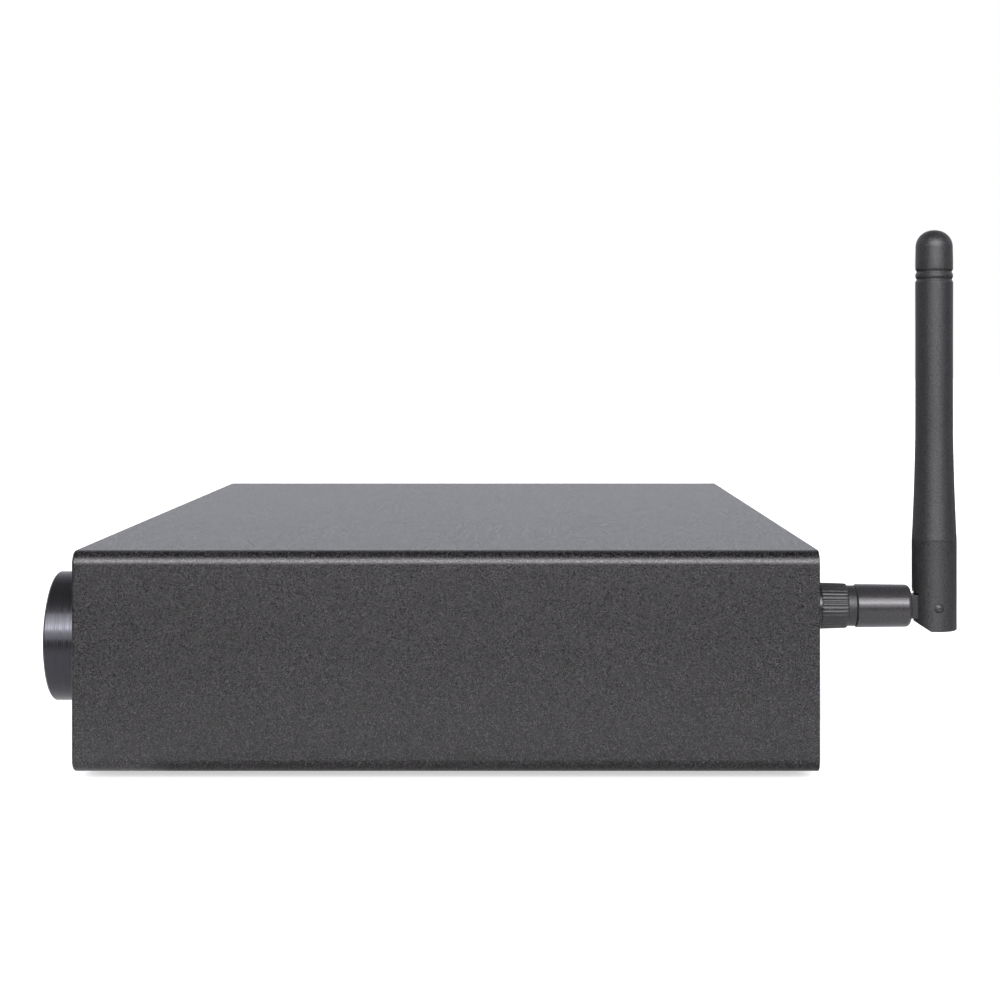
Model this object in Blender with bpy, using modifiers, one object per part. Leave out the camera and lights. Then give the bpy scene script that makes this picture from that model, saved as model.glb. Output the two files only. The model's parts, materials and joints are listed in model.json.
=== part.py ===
"""Bluetooth audio receiver: an extruded aluminium case with a volume knob and a hinged screw-on antenna.

Run it with  blender --background --python part.py  or from Blender's text editor.
Units are metres, +Z is up, the front panel faces -Y and the antenna stands behind the case at +Y.
The origin is under the middle of the whole object, on the plane that the four feet rest on.
"""

import math

import bmesh
import bpy
from mathutils import Matrix, Vector

MM = 0.001

# ------------------------------------------------------------------ driving dimensions
CASE_WIDTH = 211.5 * MM
CASE_DEPTH = 152.85 * MM
CASE_HEIGHT = 45.4 * MM
CASE_CORNER = 2.8 * MM
WALL = 2.5 * MM
FOOT_HEIGHT = 2 * MM
FOOT_RADIUS = 6 * MM
FOOT_INSET_X = 18 * MM
FOOT_INSET_Y = 18 * MM

KNOB_RADIUS = 14.3 * MM
KNOB_STANDOUT = 11.9 * MM
KNOB_X = 68.2 * MM

ANTENNA_X = 72 * MM
ANTENNA_HEIGHT = 29.85 * MM  # of the screw connector's axis above the case's underside
PIVOT_BEHIND_CASE = 30.7 * MM
MAST_RADIUS = 4.92 * MM
MAST_TOP = 83.4 * MM  # above the hinge pivot
MAST_BOTTOM = 5.25 * MM  # below the hinge pivot

# ------------------------------------------------------------------ where things are
LENGTH = KNOB_STANDOUT + CASE_DEPTH + PIVOT_BEHIND_CASE + MAST_RADIUS
FRONT = KNOB_STANDOUT - LENGTH / 2
REAR = FRONT + CASE_DEPTH
BASE = FOOT_HEIGHT
TOP = BASE + CASE_HEIGHT
MIDDLE = (BASE + TOP) / 2
INNER_X = CASE_WIDTH / 2 - WALL
INNER_LOW = BASE + WALL
INNER_HIGH = TOP - WALL

FIT = 0.2 * MM  # gap round a piece that drops into an opening
REST = 0.3 * MM  # gap between a piece and what it lies against

PANEL_RECESS = 0.4 * MM
FRONT_THICKNESS = 3 * MM
CARRIER_THICKNESS = 2 * MM
REAR_THICKNESS = 2 * MM
FRONT_FACE = FRONT + PANEL_RECESS
CARRIER_FACE = FRONT_FACE + FRONT_THICKNESS + REST
CARRIER_BACK = CARRIER_FACE + CARRIER_THICKNESS
REAR_FACE = REAR - 0.5 * MM
REAR_INSIDE = REAR_FACE - REAR_THICKNESS

BOSS_SIZE = 7 * MM
BOSS_X = INNER_X - BOSS_SIZE / 2
BOSS_LOW = INNER_LOW + BOSS_SIZE / 2
BOSS_HIGH = INNER_HIGH - BOSS_SIZE / 2
BOSS_FRONT = CARRIER_BACK + REST
BOSS_REAR = REAR_INSIDE - REST
SCREW_RADIUS = 1.5 * MM
SCREW_HEAD_RADIUS = 2.8 * MM
SCREW_HEAD_DEPTH = 1.4 * MM
SCREW_LENGTH = 9 * MM
SCREW_CLEARANCE = 0.15 * MM

BOARD_THICKNESS = 1.6 * MM
BOARD_LOW = BASE + 11 * MM
BOARD_TOP = BOARD_LOW + BOARD_THICKNESS
ON_BOARD = BOARD_TOP + REST
RAIL_REACH = 2.5 * MM
RAIL_THICKNESS = 1.5 * MM

FRONT_BOARD_FACE = FRONT + 13.5 * MM
BUTTON_RADIUS = 4.5 * MM
BUTTON_TRAVEL = 0.5 * MM
STANDBY_X = -88 * MM
SOURCE_X = 42 * MM
WINDOW_X = -22 * MM
WINDOW_WIDTH = 86 * MM
WINDOW_HEIGHT = 17 * MM

RCA_SHELL_RADIUS = 4.15 * MM
RCA_END = REAR + 9 * MM
RCA_HEIGHT = ON_BOARD + 8 * MM
LINE_OUT_X = -8 * MM
LINE_OUT_PITCH = 14 * MM
COAX_IN_X = 40 * MM
OPTICAL_X = 19 * MM
OPTICAL_SIZE = 10.6 * MM
OPTICAL_CAVITY = 8.4 * MM
OPTICAL_CAVITY_DEPTH = 9 * MM
DC_X = -56 * MM
SWITCH_X = -86 * MM
ROCKER_TILT = math.radians(7)

PIVOT_Y = REAR + PIVOT_BEHIND_CASE
PIVOT_Z = BASE + ANTENNA_HEIGHT
BARREL_RADIUS = 4.8 * MM
BARREL_TIP_RADIUS = 4.7 * MM
BARREL_END = PIVOT_Y - 5.6 * MM
BARREL_START = BARREL_END - 12.2 * MM
TONGUE_HALF_THICKNESS = 2.5 * MM
TONGUE_HALF_HEIGHT = 2.6 * MM
SLOT_HALF_WIDTH = 2.75 * MM
SLOT_REACH = 2.95 * MM
PIN_RADIUS = 1 * MM
GRIP_RING_END = BARREL_START - 0.3 * MM
GRIP_KNURL_END = GRIP_RING_END - 1.5 * MM
GRIP_START = GRIP_KNURL_END - 5.9 * MM
GRIP_RADIUS = 5.12 * MM
GRIP_TIP_RADIUS = 4.93 * MM
GRIP_RING_RADIUS = 4.5 * MM
KNURL_DEPTH = 0.25 * MM
KNURL_RIDGES = 36
FORK_TOP = 14.6 * MM  # above the pivot, where the whip cover begins
SPIGOT_RADIUS = 3.3 * MM

# ------------------------------------------------------------------ scene and materials
FINISHES = {  # name: (base colour, metallic, roughness)
    "case_grey": ((0.075, 0.073, 0.077), 0.75, 0.45),
    "panel_black": ((0.02, 0.02, 0.022), 0.6, 0.5),
    "knob_black": ((0.03, 0.03, 0.033), 0.9, 0.25),
    "antenna_plastic": ((0.04, 0.04, 0.042), 0.0, 0.5),
    "window_smoke": ((0.01, 0.01, 0.012), 0.0, 0.08),
    "rubber": ((0.015, 0.015, 0.015), 0.0, 0.8),
    "steel": ((0.6, 0.6, 0.62), 1.0, 0.3),
    "black_steel": ((0.03, 0.03, 0.032), 0.9, 0.35),
    "gold": ((0.83, 0.62, 0.28), 1.0, 0.25),
    "black_plastic": ((0.02, 0.02, 0.02), 0.0, 0.45),
    "white_plastic": ((0.85, 0.85, 0.83), 0.0, 0.4),
    "red_plastic": ((0.6, 0.02, 0.02), 0.0, 0.4),
    "board": ((0.02, 0.12, 0.06), 0.0, 0.5),
    "copper_cable": ((0.12, 0.12, 0.12), 0.0, 0.5),
    "bare_aluminium": ((0.7, 0.7, 0.72), 1.0, 0.35),
}


def clear_scene():
    for old in list(bpy.data.objects):
        bpy.data.objects.remove(old)


def new_collection(name):
    collection = bpy.data.collections.new(name)
    bpy.context.scene.collection.children.link(collection)
    return collection


def finish(name):
    """The Principled material of that name, made when it is first asked for."""
    found = bpy.data.materials.get(name)
    if found:
        return found
    colour, metallic, roughness = FINISHES[name]
    made = bpy.data.materials.new(name)
    made.use_nodes = True
    shader = made.node_tree.nodes["Principled BSDF"]
    shader.inputs["Base Color"].default_value = (*colour, 1)
    shader.inputs["Metallic"].default_value = metallic
    shader.inputs["Roughness"].default_value = roughness
    return made


clear_scene()
PARTS = new_collection("bluetooth_audio_receiver")
CUTTERS = new_collection("cutters")


# ------------------------------------------------------------------ shapes
def place(name, mesh, centre, material):
    """An object in the parts collection, or a hidden helper where material is None."""
    made = bpy.data.objects.new(name, mesh)
    made.location = centre
    if material:
        mesh.materials.append(finish(material))
        PARTS.objects.link(made)
    else:
        made.hide_render = True
        made.display_type = "WIRE"
        CUTTERS.objects.link(made)
    return made


def mesh_from(name, shape):
    mesh = bpy.data.meshes.new(name)
    shape.to_mesh(mesh)
    shape.free()
    return mesh


def box(name, size, centre, material=None, corner=0.0, along="Y", segments=4):
    """A block. With a corner radius, its four edges along one axis are rounded."""
    shape = bmesh.new()
    bmesh.ops.create_cube(shape, size=1)
    bmesh.ops.scale(shape, vec=size, verts=shape.verts)
    if corner:
        axis = Vector([letter == along for letter in "XYZ"])
        edges = [e for e in shape.edges if abs((e.verts[1].co - e.verts[0].co).normalized().dot(axis)) > 0.9]
        bmesh.ops.bevel(shape, geom=edges, offset=corner, segments=segments, profile=0.5, affect="EDGES")
    return place(name, mesh_from(name, shape), centre, material)


def between(name, low, high, material=None, **rounding):
    """A block given by its lowest and highest corners."""
    low, high = Vector(low), Vector(high)
    return box(name, high - low, (low + high) / 2, material, **rounding)


TURN = {"X": Matrix.Rotation(math.pi / 2, 4, "Y"), "Y": Matrix.Rotation(-math.pi / 2, 4, "X"), "Z": Matrix()}


def rod(name, radius, low, high, centre, axis="Y", material=None, sides=28):
    """A round bar, or a prism with few sides, from low to high along an axis through centre."""
    shape = bmesh.new()
    bmesh.ops.create_cone(
        shape, cap_ends=True, segments=sides, radius1=radius, radius2=radius, depth=high - low,
        matrix=TURN[axis] @ Matrix.Translation((0, 0, (low + high) / 2)),
    )
    made = place(name, mesh_from(name, shape), centre, material)
    if sides > 8:
        made.data.shade_smooth()
        made.data.set_sharp_from_angle(angle=math.radians(40))
    return made


def turned(name, profile, centre, axis="Y", material=None, steps=40, closed=False):
    """A lathe shape. The profile lists (radius, place along the axis) from the high end down the outer side."""
    mesh = bpy.data.meshes.new(name)
    count = len(profile)
    edges = [(i, i + 1) for i in range(count - 1)] + ([(count - 1, 0)] if closed else [])
    mesh.from_pydata([(radius, 0, along) for radius, along in profile], edges, [])
    made = place(name, mesh, centre, material)
    made.rotation_euler = TURN[axis].to_euler()
    screw = made.modifiers.new("lathe", "SCREW")
    screw.steps = steps
    screw.render_steps = steps
    screw.use_merge_vertices = True
    screw.merge_threshold = 0.00001
    return made


def change(target, operation, tools):
    for tool in tools:
        step = target.modifiers.new(tool.name, "BOOLEAN")
        step.operation = operation
        step.object = tool
    return target


def cut(target, *tools):
    return change(target, "DIFFERENCE", tools)


def fuse(target, *tools):
    return change(target, "UNION", tools)


def joint_axis(name, place_at, *pieces):
    """An empty on a joint's axis, which carries the pieces that move about or along it."""
    empty = bpy.data.objects.new(name, None)
    empty.location = place_at
    empty.empty_display_size = 5 * MM
    PARTS.objects.link(empty)
    for piece in pieces:
        piece.parent = empty
        piece.matrix_parent_inverse = Matrix.Translation(-Vector(place_at))
    return empty


# ------------------------------------------------------------------ case
def screw_profile(head_at, grow=0.0):
    """A countersunk screw along +Y, its flat head face at head_at and its shank towards -Y."""
    head, shank = SCREW_HEAD_RADIUS + grow, SCREW_RADIUS * 0.8 + grow
    return [
        (0, head_at), (head, head_at), (head, head_at - 0.2 * MM),
        (shank, head_at - SCREW_HEAD_DEPTH), (shank, head_at - SCREW_LENGTH), (0, head_at - SCREW_LENGTH),
    ]


def case_screw(name, x, z, face, backwards, material=None, grow=0.0):
    """One countersunk case screw; a front screw's shank points backwards, towards +Y."""
    screw = turned(name, screw_profile(0, grow), (x, face, z), "Y", material, steps=16)
    if backwards:
        screw.rotation_euler = (math.pi / 2, 0, 0)
    return screw


def screw_places():
    return [(side * BOSS_X, height) for height in (BOSS_LOW, BOSS_HIGH) for side in (-1, 1)]


def case_sleeve():
    """The extruded tube, with board rails on its side walls and a screw boss in each inner corner."""
    middle_y = (FRONT + REAR) / 2
    sleeve = box(
        "case_sleeve", (CASE_WIDTH, CASE_DEPTH, CASE_HEIGHT), (0, middle_y, MIDDLE),
        "case_grey", corner=CASE_CORNER, segments=8,
    )
    bore = box(
        "case_bore", (2 * INNER_X, CASE_DEPTH + 10 * MM, INNER_HIGH - INNER_LOW), (0, middle_y, MIDDLE),
        corner=0.8 * MM, segments=3,
    )
    cut(sleeve, bore)
    into_wall = 0.6 * MM
    for side in (-1, 1):
        for low in (BOARD_LOW - REST - RAIL_THICKNESS, BOARD_TOP + REST):
            ends = sorted([side * (INNER_X + into_wall), side * (INNER_X - RAIL_REACH)])
            rail = between(
                f"rail_{side}_{round(low / MM)}",
                (ends[0], BOSS_FRONT, low), (ends[1], BOSS_REAR, low + RAIL_THICKNESS),
            )
            fuse(sleeve, rail)
        for up, height in ((-1, BOSS_LOW), (1, BOSS_HIGH)):
            size = BOSS_SIZE + into_wall
            centre = (side * (BOSS_X + into_wall / 2), (BOSS_FRONT + BOSS_REAR) / 2, height + up * into_wall / 2)
            boss = box(f"boss_{side}_{up}", (size, BOSS_REAR - BOSS_FRONT, size), centre)
            hole = rod(
                f"boss_hole_{side}_{up}", SCREW_RADIUS * 0.8 + SCREW_CLEARANCE, FRONT, REAR,
                (side * BOSS_X, 0, height), sides=16,
            )
            fuse(sleeve, boss)
            cut(sleeve, hole)
    return sleeve


def panel(name, low_y, high_y, material, gap):
    """A plate that fills the tube's opening."""
    size = (2 * (INNER_X - gap), high_y - low_y, INNER_HIGH - INNER_LOW - 2 * gap)
    return box(name, size, (0, (low_y + high_y) / 2, MIDDLE), material, corner=0.8 * MM, segments=3)


def front_panel():
    face = panel("front_panel", FRONT_FACE, FRONT_FACE + FRONT_THICKNESS, "panel_black", FIT)
    opening = box(
        "window_opening", (WINDOW_WIDTH + 2 * FIT, 10 * MM, WINDOW_HEIGHT + 2 * FIT),
        (WINDOW_X, FRONT_FACE, MIDDLE), corner=1.5 * MM,
    )
    cut(face, opening, *front_holes("front_panel"))
    return face


def front_holes(owner):
    """Cutters for the encoder's bushing and the two buttons, for one of the two front plates."""
    reach = 12 * MM
    return [
        rod(f"{owner}_hole_{round(x / MM)}", radius, FRONT - reach, FRONT + reach, (x, 0, MIDDLE), sides=32)
        for x, radius in (
            (KNOB_X, 3.75 * MM), (STANDBY_X, BUTTON_RADIUS + REST), (SOURCE_X, BUTTON_RADIUS + REST),
        )
    ]


def front_carrier():
    """The steel plate behind the front panel, screwed to the bosses; the panel is bonded to it."""
    plate = panel("front_carrier", CARRIER_FACE, CARRIER_BACK, "black_steel", 0.5 * MM)
    opening = box(
        "display_opening", (WINDOW_WIDTH - 8 * MM, 20 * MM, WINDOW_HEIGHT - 4 * MM),
        (WINDOW_X, CARRIER_FACE, MIDDLE), corner=1 * MM,
    )
    cut(plate, opening, *front_holes("front_carrier"))
    for number, (x, z) in enumerate(screw_places(), 1):
        # the recess opens past the plate's face, so its cutter starts in front of it
        cut(plate, case_screw(f"carrier_recess_{number}", x, z, CARRIER_FACE - 0.05 * MM, True, grow=SCREW_CLEARANCE))
        case_screw(f"carrier_screw_{number}", x, z, CARRIER_FACE + 0.05 * MM, True, "steel")
    return plate


def foot(name, x, y):
    edge = 1 * MM
    profile = [
        (0, BASE - 0.1 * MM), (FOOT_RADIUS, BASE - 0.1 * MM),
        (FOOT_RADIUS - 0.3 * MM, edge / 2), (FOOT_RADIUS - edge, 0), (0, 0),
    ]
    return turned(name, profile, (x, y, 0), "Z", "rubber", steps=24)


def feet():
    for side, across in (("left", -1), ("right", 1)):
        x = across * (CASE_WIDTH / 2 - FOOT_INSET_X)
        foot(f"foot_front_{side}", x, FRONT + FOOT_INSET_Y)
        foot(f"foot_rear_{side}", x, REAR - FOOT_INSET_Y)


# ------------------------------------------------------------------ front controls and display
def volume_control():
    """The knob and the encoder's shaft turn together; the encoder's body is held by its hex nut."""
    axis_at = (KNOB_X, FRONT, MIDDLE)
    knob_back = FRONT - 0.8 * MM
    length = KNOB_STANDOUT - 0.8 * MM
    chamfer = 0.4 * MM
    recess, recess_depth = 8 * MM, 4.2 * MM
    bore, bore_depth = 3.05 * MM, 9 * MM
    knob = turned(
        "volume_knob",
        [
            (0, -bore_depth), (bore, -bore_depth), (bore, -recess_depth), (recess, -recess_depth), (recess, 0),
            (KNOB_RADIUS - chamfer, 0), (KNOB_RADIUS, -chamfer), (KNOB_RADIUS, chamfer - length),
            (KNOB_RADIUS - chamfer, -length), (0, -length),
        ],
        (KNOB_X, knob_back, MIDDLE), "Y", "knob_black", steps=56,
    )
    set_screw_y = knob_back - 6.8 * MM
    cut(knob, rod("set_screw_hole", 1.6 * MM, -20 * MM, -3.2 * MM, (KNOB_X, set_screw_y, MIDDLE), "Z", sides=16))
    set_screw = rod(
        "knob_set_screw", 1.45 * MM, -12 * MM, -3.3 * MM, (KNOB_X, set_screw_y, MIDDLE), "Z", "black_steel", sides=16
    )
    shaft = rod("encoder_shaft", 3 * MM, -9.5 * MM, 7.5 * MM, axis_at, "Y", "steel", sides=32)
    joint_axis("volume_axis", axis_at, knob, set_screw, shaft)

    body_front = FRONT + 6.2 * MM
    body = between(
        "encoder_body", (KNOB_X - 6.2 * MM, body_front, MIDDLE - 6.5 * MM),
        (KNOB_X + 6.2 * MM, FRONT_BOARD_FACE - REST, MIDDLE + 6.5 * MM), "steel",
    )
    fuse(body, rod("encoder_bushing", 3.5 * MM, -2.6 * MM, 8 * MM, axis_at))
    cut(body, rod("encoder_bore", 3.08 * MM, -10 * MM, 9 * MM, axis_at))
    nut = rod("encoder_nut", 5.77 * MM, -1.8 * MM, 0.25 * MM, axis_at, "Y", "steel", sides=6)
    cut(nut, rod("encoder_nut_bore", 3.65 * MM, -5 * MM, 5 * MM, axis_at))


def push_button(name, x):
    """A round cap with a collar behind the carrier, and the small switch that its stem presses."""
    cap_front, collar_front = -0.8 * MM, CARRIER_BACK - FRONT + REST
    stem_end = 9.2 * MM
    edge = 0.3 * MM
    cap = turned(
        f"{name}_button",
        [
            (0, stem_end), (2 * MM, stem_end), (2 * MM, collar_front + 1 * MM),
            (6 * MM, collar_front + 1 * MM), (6 * MM, collar_front), (BUTTON_RADIUS, collar_front),
            (BUTTON_RADIUS, cap_front + edge), (BUTTON_RADIUS - edge, cap_front), (0, cap_front),
        ],
        (x, FRONT, MIDDLE), "Y", "knob_black", steps=24,
    )
    joint_axis(f"{name}_axis", (x, FRONT, MIDDLE), cap)
    switch_front = FRONT + stem_end + BUTTON_TRAVEL + REST
    body = between(
        f"{name}_switch", (x - 3 * MM, switch_front + 0.6 * MM, MIDDLE - 3 * MM),
        (x + 3 * MM, FRONT_BOARD_FACE - REST, MIDDLE + 3 * MM), "black_plastic",
    )
    fuse(body, rod(f"{name}_plunger", 1.6 * MM, switch_front, switch_front + 1.5 * MM, (x, 0, MIDDLE), sides=16))


def display():
    box(
        "display_window", (WINDOW_WIDTH, 2.6 * MM, WINDOW_HEIGHT), (WINDOW_X, FRONT_FACE + 1.5 * MM, MIDDLE),
        "window_smoke", corner=1.4 * MM,
    )
    module_front = CARRIER_BACK + REST
    module = between(
        "display_module", (WINDOW_X - 41 * MM, module_front, MIDDLE - 9 * MM),
        (WINDOW_X + 41 * MM, module_front + 4 * MM, MIDDLE + 9 * MM), "black_plastic",
    )
    screen = box(
        "display_recess", (WINDOW_WIDTH - 12 * MM, 1 * MM, WINDOW_HEIGHT - 6 * MM), (WINDOW_X, module_front, MIDDLE)
    )
    cut(module, screen)
    between(
        "front_board", (-96 * MM, FRONT_BOARD_FACE, ON_BOARD + REST),
        (96 * MM, FRONT_BOARD_FACE + BOARD_THICKNESS, BASE + 35 * MM), "board",
    )


def front_ribbon():
    """The flat cable from the front board, bent through a quarter circle on to the main board."""
    half_width, bend, sections = 10 * MM, 7 * MM, 8
    start_y = FRONT_BOARD_FACE + BOARD_THICKNESS + 0.6 * MM
    top_z = BASE + 30 * MM
    low_z = ON_BOARD + 0.4 * MM
    line = [(start_y, top_z)]
    for step in range(sections + 1):
        angle = math.pi / 2 * step / sections
        line.append((start_y + bend * (1 - math.cos(angle)), low_z + bend * (1 - math.sin(angle))))
    line.append((start_y + 2 * bend, low_z))
    mesh = bpy.data.meshes.new("front_ribbon")
    points = [(x, y, z) for y, z in line for x in (-half_width, half_width)]
    faces = [(2 * i, 2 * i + 1, 2 * i + 3, 2 * i + 2) for i in range(len(line) - 1)]
    mesh.from_pydata(points, [], faces)
    ribbon = place("front_ribbon", mesh, (0, 0, 0), "white_plastic")
    wall = ribbon.modifiers.new("thickness", "SOLIDIFY")
    wall.thickness = 0.4 * MM
    wall.offset = 0


# ------------------------------------------------------------------ boards and what they carry
def main_board():
    reach = INNER_X - 1.9 * MM
    between(
        "main_board", (-reach, FRONT + 8 * MM, BOARD_LOW), (reach, REAR_INSIDE - 0.7 * MM, BOARD_TOP), "board"
    )
    between(
        "bluetooth_module", (50 * MM, REAR - 48 * MM, ON_BOARD), (68 * MM, REAR - 30 * MM, ON_BOARD + 2.6 * MM), "steel"
    )
    for number, x in enumerate((-30 * MM, -14 * MM), 1):
        radius, height, groove = 6.3 * MM, 20 * MM, 0.5 * MM
        turned(
            f"filter_capacitor_{number}",
            [
                (0, height), (radius - 0.6 * MM, height), (radius, height - 0.6 * MM), (radius, 3.4 * MM),
                (radius - groove, 2.9 * MM), (radius - groove, 2.3 * MM), (radius, 1.8 * MM), (radius, 0), (0, 0),
            ],
            (x, FRONT + 80 * MM, ON_BOARD), "Z", "black_plastic", steps=20,
        )
    heat_sink()


def heat_sink():
    """A finned aluminium block behind the power inlet."""
    low_y, low_z, width, height = REAR - 52 * MM, ON_BOARD, 26 * MM, 22 * MM
    x = DC_X - width / 2
    sink = between("heat_sink", (x, low_y, low_z), (x + width, low_y + 2.5 * MM, low_z + height), "bare_aluminium")
    fins, fin = 6, 1.4 * MM
    for number in range(fins):
        fin_x = x + (width - fin) * number / (fins - 1)
        fuse(
            sink,
            between(
                f"heat_sink_fin_{number}", (fin_x, low_y - 8 * MM, low_z), (fin_x + fin, low_y + 1 * MM, low_z + height)
            ),
        )


# ------------------------------------------------------------------ rear panel and its connectors
def rear_panel():
    plate = panel("rear_panel", REAR_INSIDE, REAR_FACE, "panel_black", FIT)
    reach = 8 * MM

    def hole(name, radius, x, z):
        return rod(f"rear_hole_{name}", radius, REAR - reach, REAR + reach, (x, 0, z))

    def opening(name, width, height, x, z):
        return box(f"rear_opening_{name}", (width, 2 * reach, height), (x, REAR, z))

    cut(
        plate,
        hole("antenna", 3.35 * MM, ANTENNA_X, PIVOT_Z),
        *(hole(f"rca_{round(x / MM)}", 5.1 * MM, x, RCA_HEIGHT) for x in rca_places()),
        hole("dc", 5.1 * MM, DC_X, RCA_HEIGHT),
        opening("optical", OPTICAL_SIZE + 2 * FIT, OPTICAL_SIZE + 2 * FIT, OPTICAL_X, optical_middle()),
        opening("switch", 9.2 * MM, 14 * MM, SWITCH_X, MIDDLE),
    )
    for number, (x, z) in enumerate(screw_places(), 1):
        cut(plate, case_screw(f"rear_recess_{number}", x, z, REAR_FACE + 0.05 * MM, False, grow=SCREW_CLEARANCE))
        case_screw(f"rear_screw_{number}", x, z, REAR_FACE - 0.05 * MM, False, "black_steel")
    return plate


def rca_places():
    return [LINE_OUT_X - LINE_OUT_PITCH / 2, LINE_OUT_X + LINE_OUT_PITCH / 2, COAX_IN_X]


def rca_socket(housing, tag, x, colour):
    """A collar through the rear panel, fused to the housing, with a metal shell and a coloured insert in it."""
    axis = (x, 0, RCA_HEIGHT)
    seat = REAR_INSIDE - 2.5 * MM
    fuse(housing, rod(f"{tag}_collar", 4.9 * MM, seat, REAR_FACE + 0.5 * MM, axis))
    cut(housing, rod(f"{tag}_seat", RCA_SHELL_RADIUS + 0.15 * MM, seat, REAR + 5 * MM, axis))
    start, lip = seat + 0.15 * MM, 0.3 * MM
    inner = RCA_SHELL_RADIUS - 0.55 * MM
    turned(
        f"{tag}_shell",
        [
            (inner, RCA_END), (RCA_SHELL_RADIUS - lip, RCA_END), (RCA_SHELL_RADIUS, RCA_END - lip),
            (RCA_SHELL_RADIUS, start), (inner, start),
        ],
        axis, "Y", "gold", steps=24, closed=True,
    )
    outer, hole, hole_depth = inner - 0.15 * MM, 1.7 * MM, 8 * MM
    end = RCA_END - 0.8 * MM
    turned(
        f"{tag}_insert",
        [(0, end - hole_depth), (hole, end - hole_depth), (hole, end), (outer, end), (outer, start), (0, start)],
        axis, "Y", colour, steps=24,
    )


def rca_sockets():
    depth, height = 12 * MM, 15 * MM
    back = REAR_INSIDE - REST

    def housing(name, x, width):
        low = (x - width / 2, back - depth, ON_BOARD)
        return between(name, low, (x + width / 2, back, ON_BOARD + height), "black_plastic")

    line_out = housing("line_out_housing", LINE_OUT_X, LINE_OUT_PITCH + 12.6 * MM)
    rca_socket(line_out, "line_out_right", LINE_OUT_X - LINE_OUT_PITCH / 2, "red_plastic")
    rca_socket(line_out, "line_out_left", LINE_OUT_X + LINE_OUT_PITCH / 2, "white_plastic")
    rca_socket(housing("coax_in_housing", COAX_IN_X, 13 * MM), "coax_in", COAX_IN_X, "black_plastic")


def optical_middle():
    return ON_BOARD + OPTICAL_SIZE / 2


def optical_socket():
    """A square light-pipe socket whose sprung shutter swings inwards about a pin at its top."""
    mouth = REAR_FACE + 0.8 * MM
    middle = optical_middle()
    half = OPTICAL_SIZE / 2
    housing = between(
        "optical_housing", (OPTICAL_X - half, mouth - 14 * MM, middle - half),
        (OPTICAL_X + half, mouth, middle + half), "black_plastic",
    )
    cavity = OPTICAL_CAVITY / 2
    cut(
        housing,
        between(
            "optical_cavity", (OPTICAL_X - cavity, mouth - OPTICAL_CAVITY_DEPTH, middle - cavity),
            (OPTICAL_X + cavity, mouth + 2 * MM, middle + cavity),
        ),
    )
    face, thickness, gap = mouth - 0.6 * MM, 0.8 * MM, 0.3 * MM
    shutter = between(
        "optical_shutter", (OPTICAL_X - cavity + FIT, face - thickness, middle - cavity + gap),
        (OPTICAL_X + cavity - FIT, face, middle + cavity - gap), "black_plastic",
    )
    joint_axis("shutter_axis", (OPTICAL_X, face - thickness / 2, middle + cavity - 0.7 * MM), shutter)


def power_inlet():
    back = REAR_INSIDE - REST
    body = between(
        "dc_jack_body", (DC_X - 5.4 * MM, back - 12 * MM, ON_BOARD), (DC_X + 5.4 * MM, back, ON_BOARD + 13.4 * MM),
        "black_plastic",
    )
    axis = (DC_X, 0, RCA_HEIGHT)
    mouth, floor = REAR_FACE + 0.7 * MM, REAR_INSIDE - 6 * MM
    fuse(body, rod("dc_nose", 4.9 * MM, back - 2 * MM, mouth, axis))
    cut(body, rod("dc_bore", 3.2 * MM, floor, REAR + 5 * MM, axis))
    tip = mouth - 0.8 * MM
    turned(
        "dc_jack_pin",
        [(0, tip), (0.7 * MM, tip), (1.05 * MM, tip - 0.4 * MM), (1.05 * MM, floor + 0.1 * MM), (0, floor + 0.1 * MM)],
        axis, "Y", "steel", steps=16,
    )


def power_switch():
    """A framed rocker. It rests tipped to its off side and swings through twice that angle."""
    frame_front = REAR_FACE + 1.6 * MM
    frame = between(
        "power_switch_frame", (SWITCH_X - 4.4 * MM, REAR - 14 * MM, MIDDLE - 6.8 * MM),
        (SWITCH_X + 4.4 * MM, frame_front - 1 * MM, MIDDLE + 6.8 * MM), "black_plastic",
    )
    fuse(
        frame,
        between(
            "switch_bezel", (SWITCH_X - 5.3 * MM, REAR_FACE + 0.1 * MM, MIDDLE - 7.6 * MM),
            (SWITCH_X + 5.3 * MM, frame_front, MIDDLE + 7.6 * MM), corner=0.8 * MM,
        ),
    )
    well_floor = REAR - 8 * MM
    cut(
        frame,
        between(
            "switch_well", (SWITCH_X - 3.3 * MM, well_floor, MIDDLE - 6 * MM),
            (SWITCH_X + 3.3 * MM, REAR + 5 * MM, MIDDLE + 6 * MM),
        ),
    )
    outline = bpy.data.curves.new("power_rocker_outline", "CURVE")
    outline.dimensions = "2D"
    outline.fill_mode = "BOTH"
    outline.extrude = 3 * MM
    spline = outline.splines.new("POLY")
    half, ear, dip, back = 5.1 * MM, 3.7 * MM, 2.7 * MM, -2.5 * MM
    corners = [(-half, ear), (-4.2 * MM, back), (4.2 * MM, back), (half, ear), (0, dip)]
    spline.points.add(len(corners) - 1)
    for point, (across, out) in zip(spline.points, corners):
        point.co = (across, out, 0, 1)
    spline.use_cyclic_u = True
    outline.materials.append(finish("black_plastic"))
    rocker = bpy.data.objects.new("power_rocker", outline)
    PARTS.objects.link(rocker)
    pivot = Vector((SWITCH_X, REAR_FACE - 1.2 * MM, MIDDLE))
    # the outline's x runs up the switch, its y out of the panel and its extrusion across
    stand = Matrix(((0, 0, 1, 0), (0, 1, 0, 0), (-1, 0, 0, 0), (0, 0, 0, 1)))
    rocker.matrix_world = Matrix.Translation(pivot) @ Matrix.Rotation(ROCKER_TILT, 4, "X") @ stand
    empty = joint_axis("rocker_axis", pivot)
    rocker.parent = empty
    rocker.matrix_parent_inverse = Matrix.Translation(-pivot)


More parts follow.
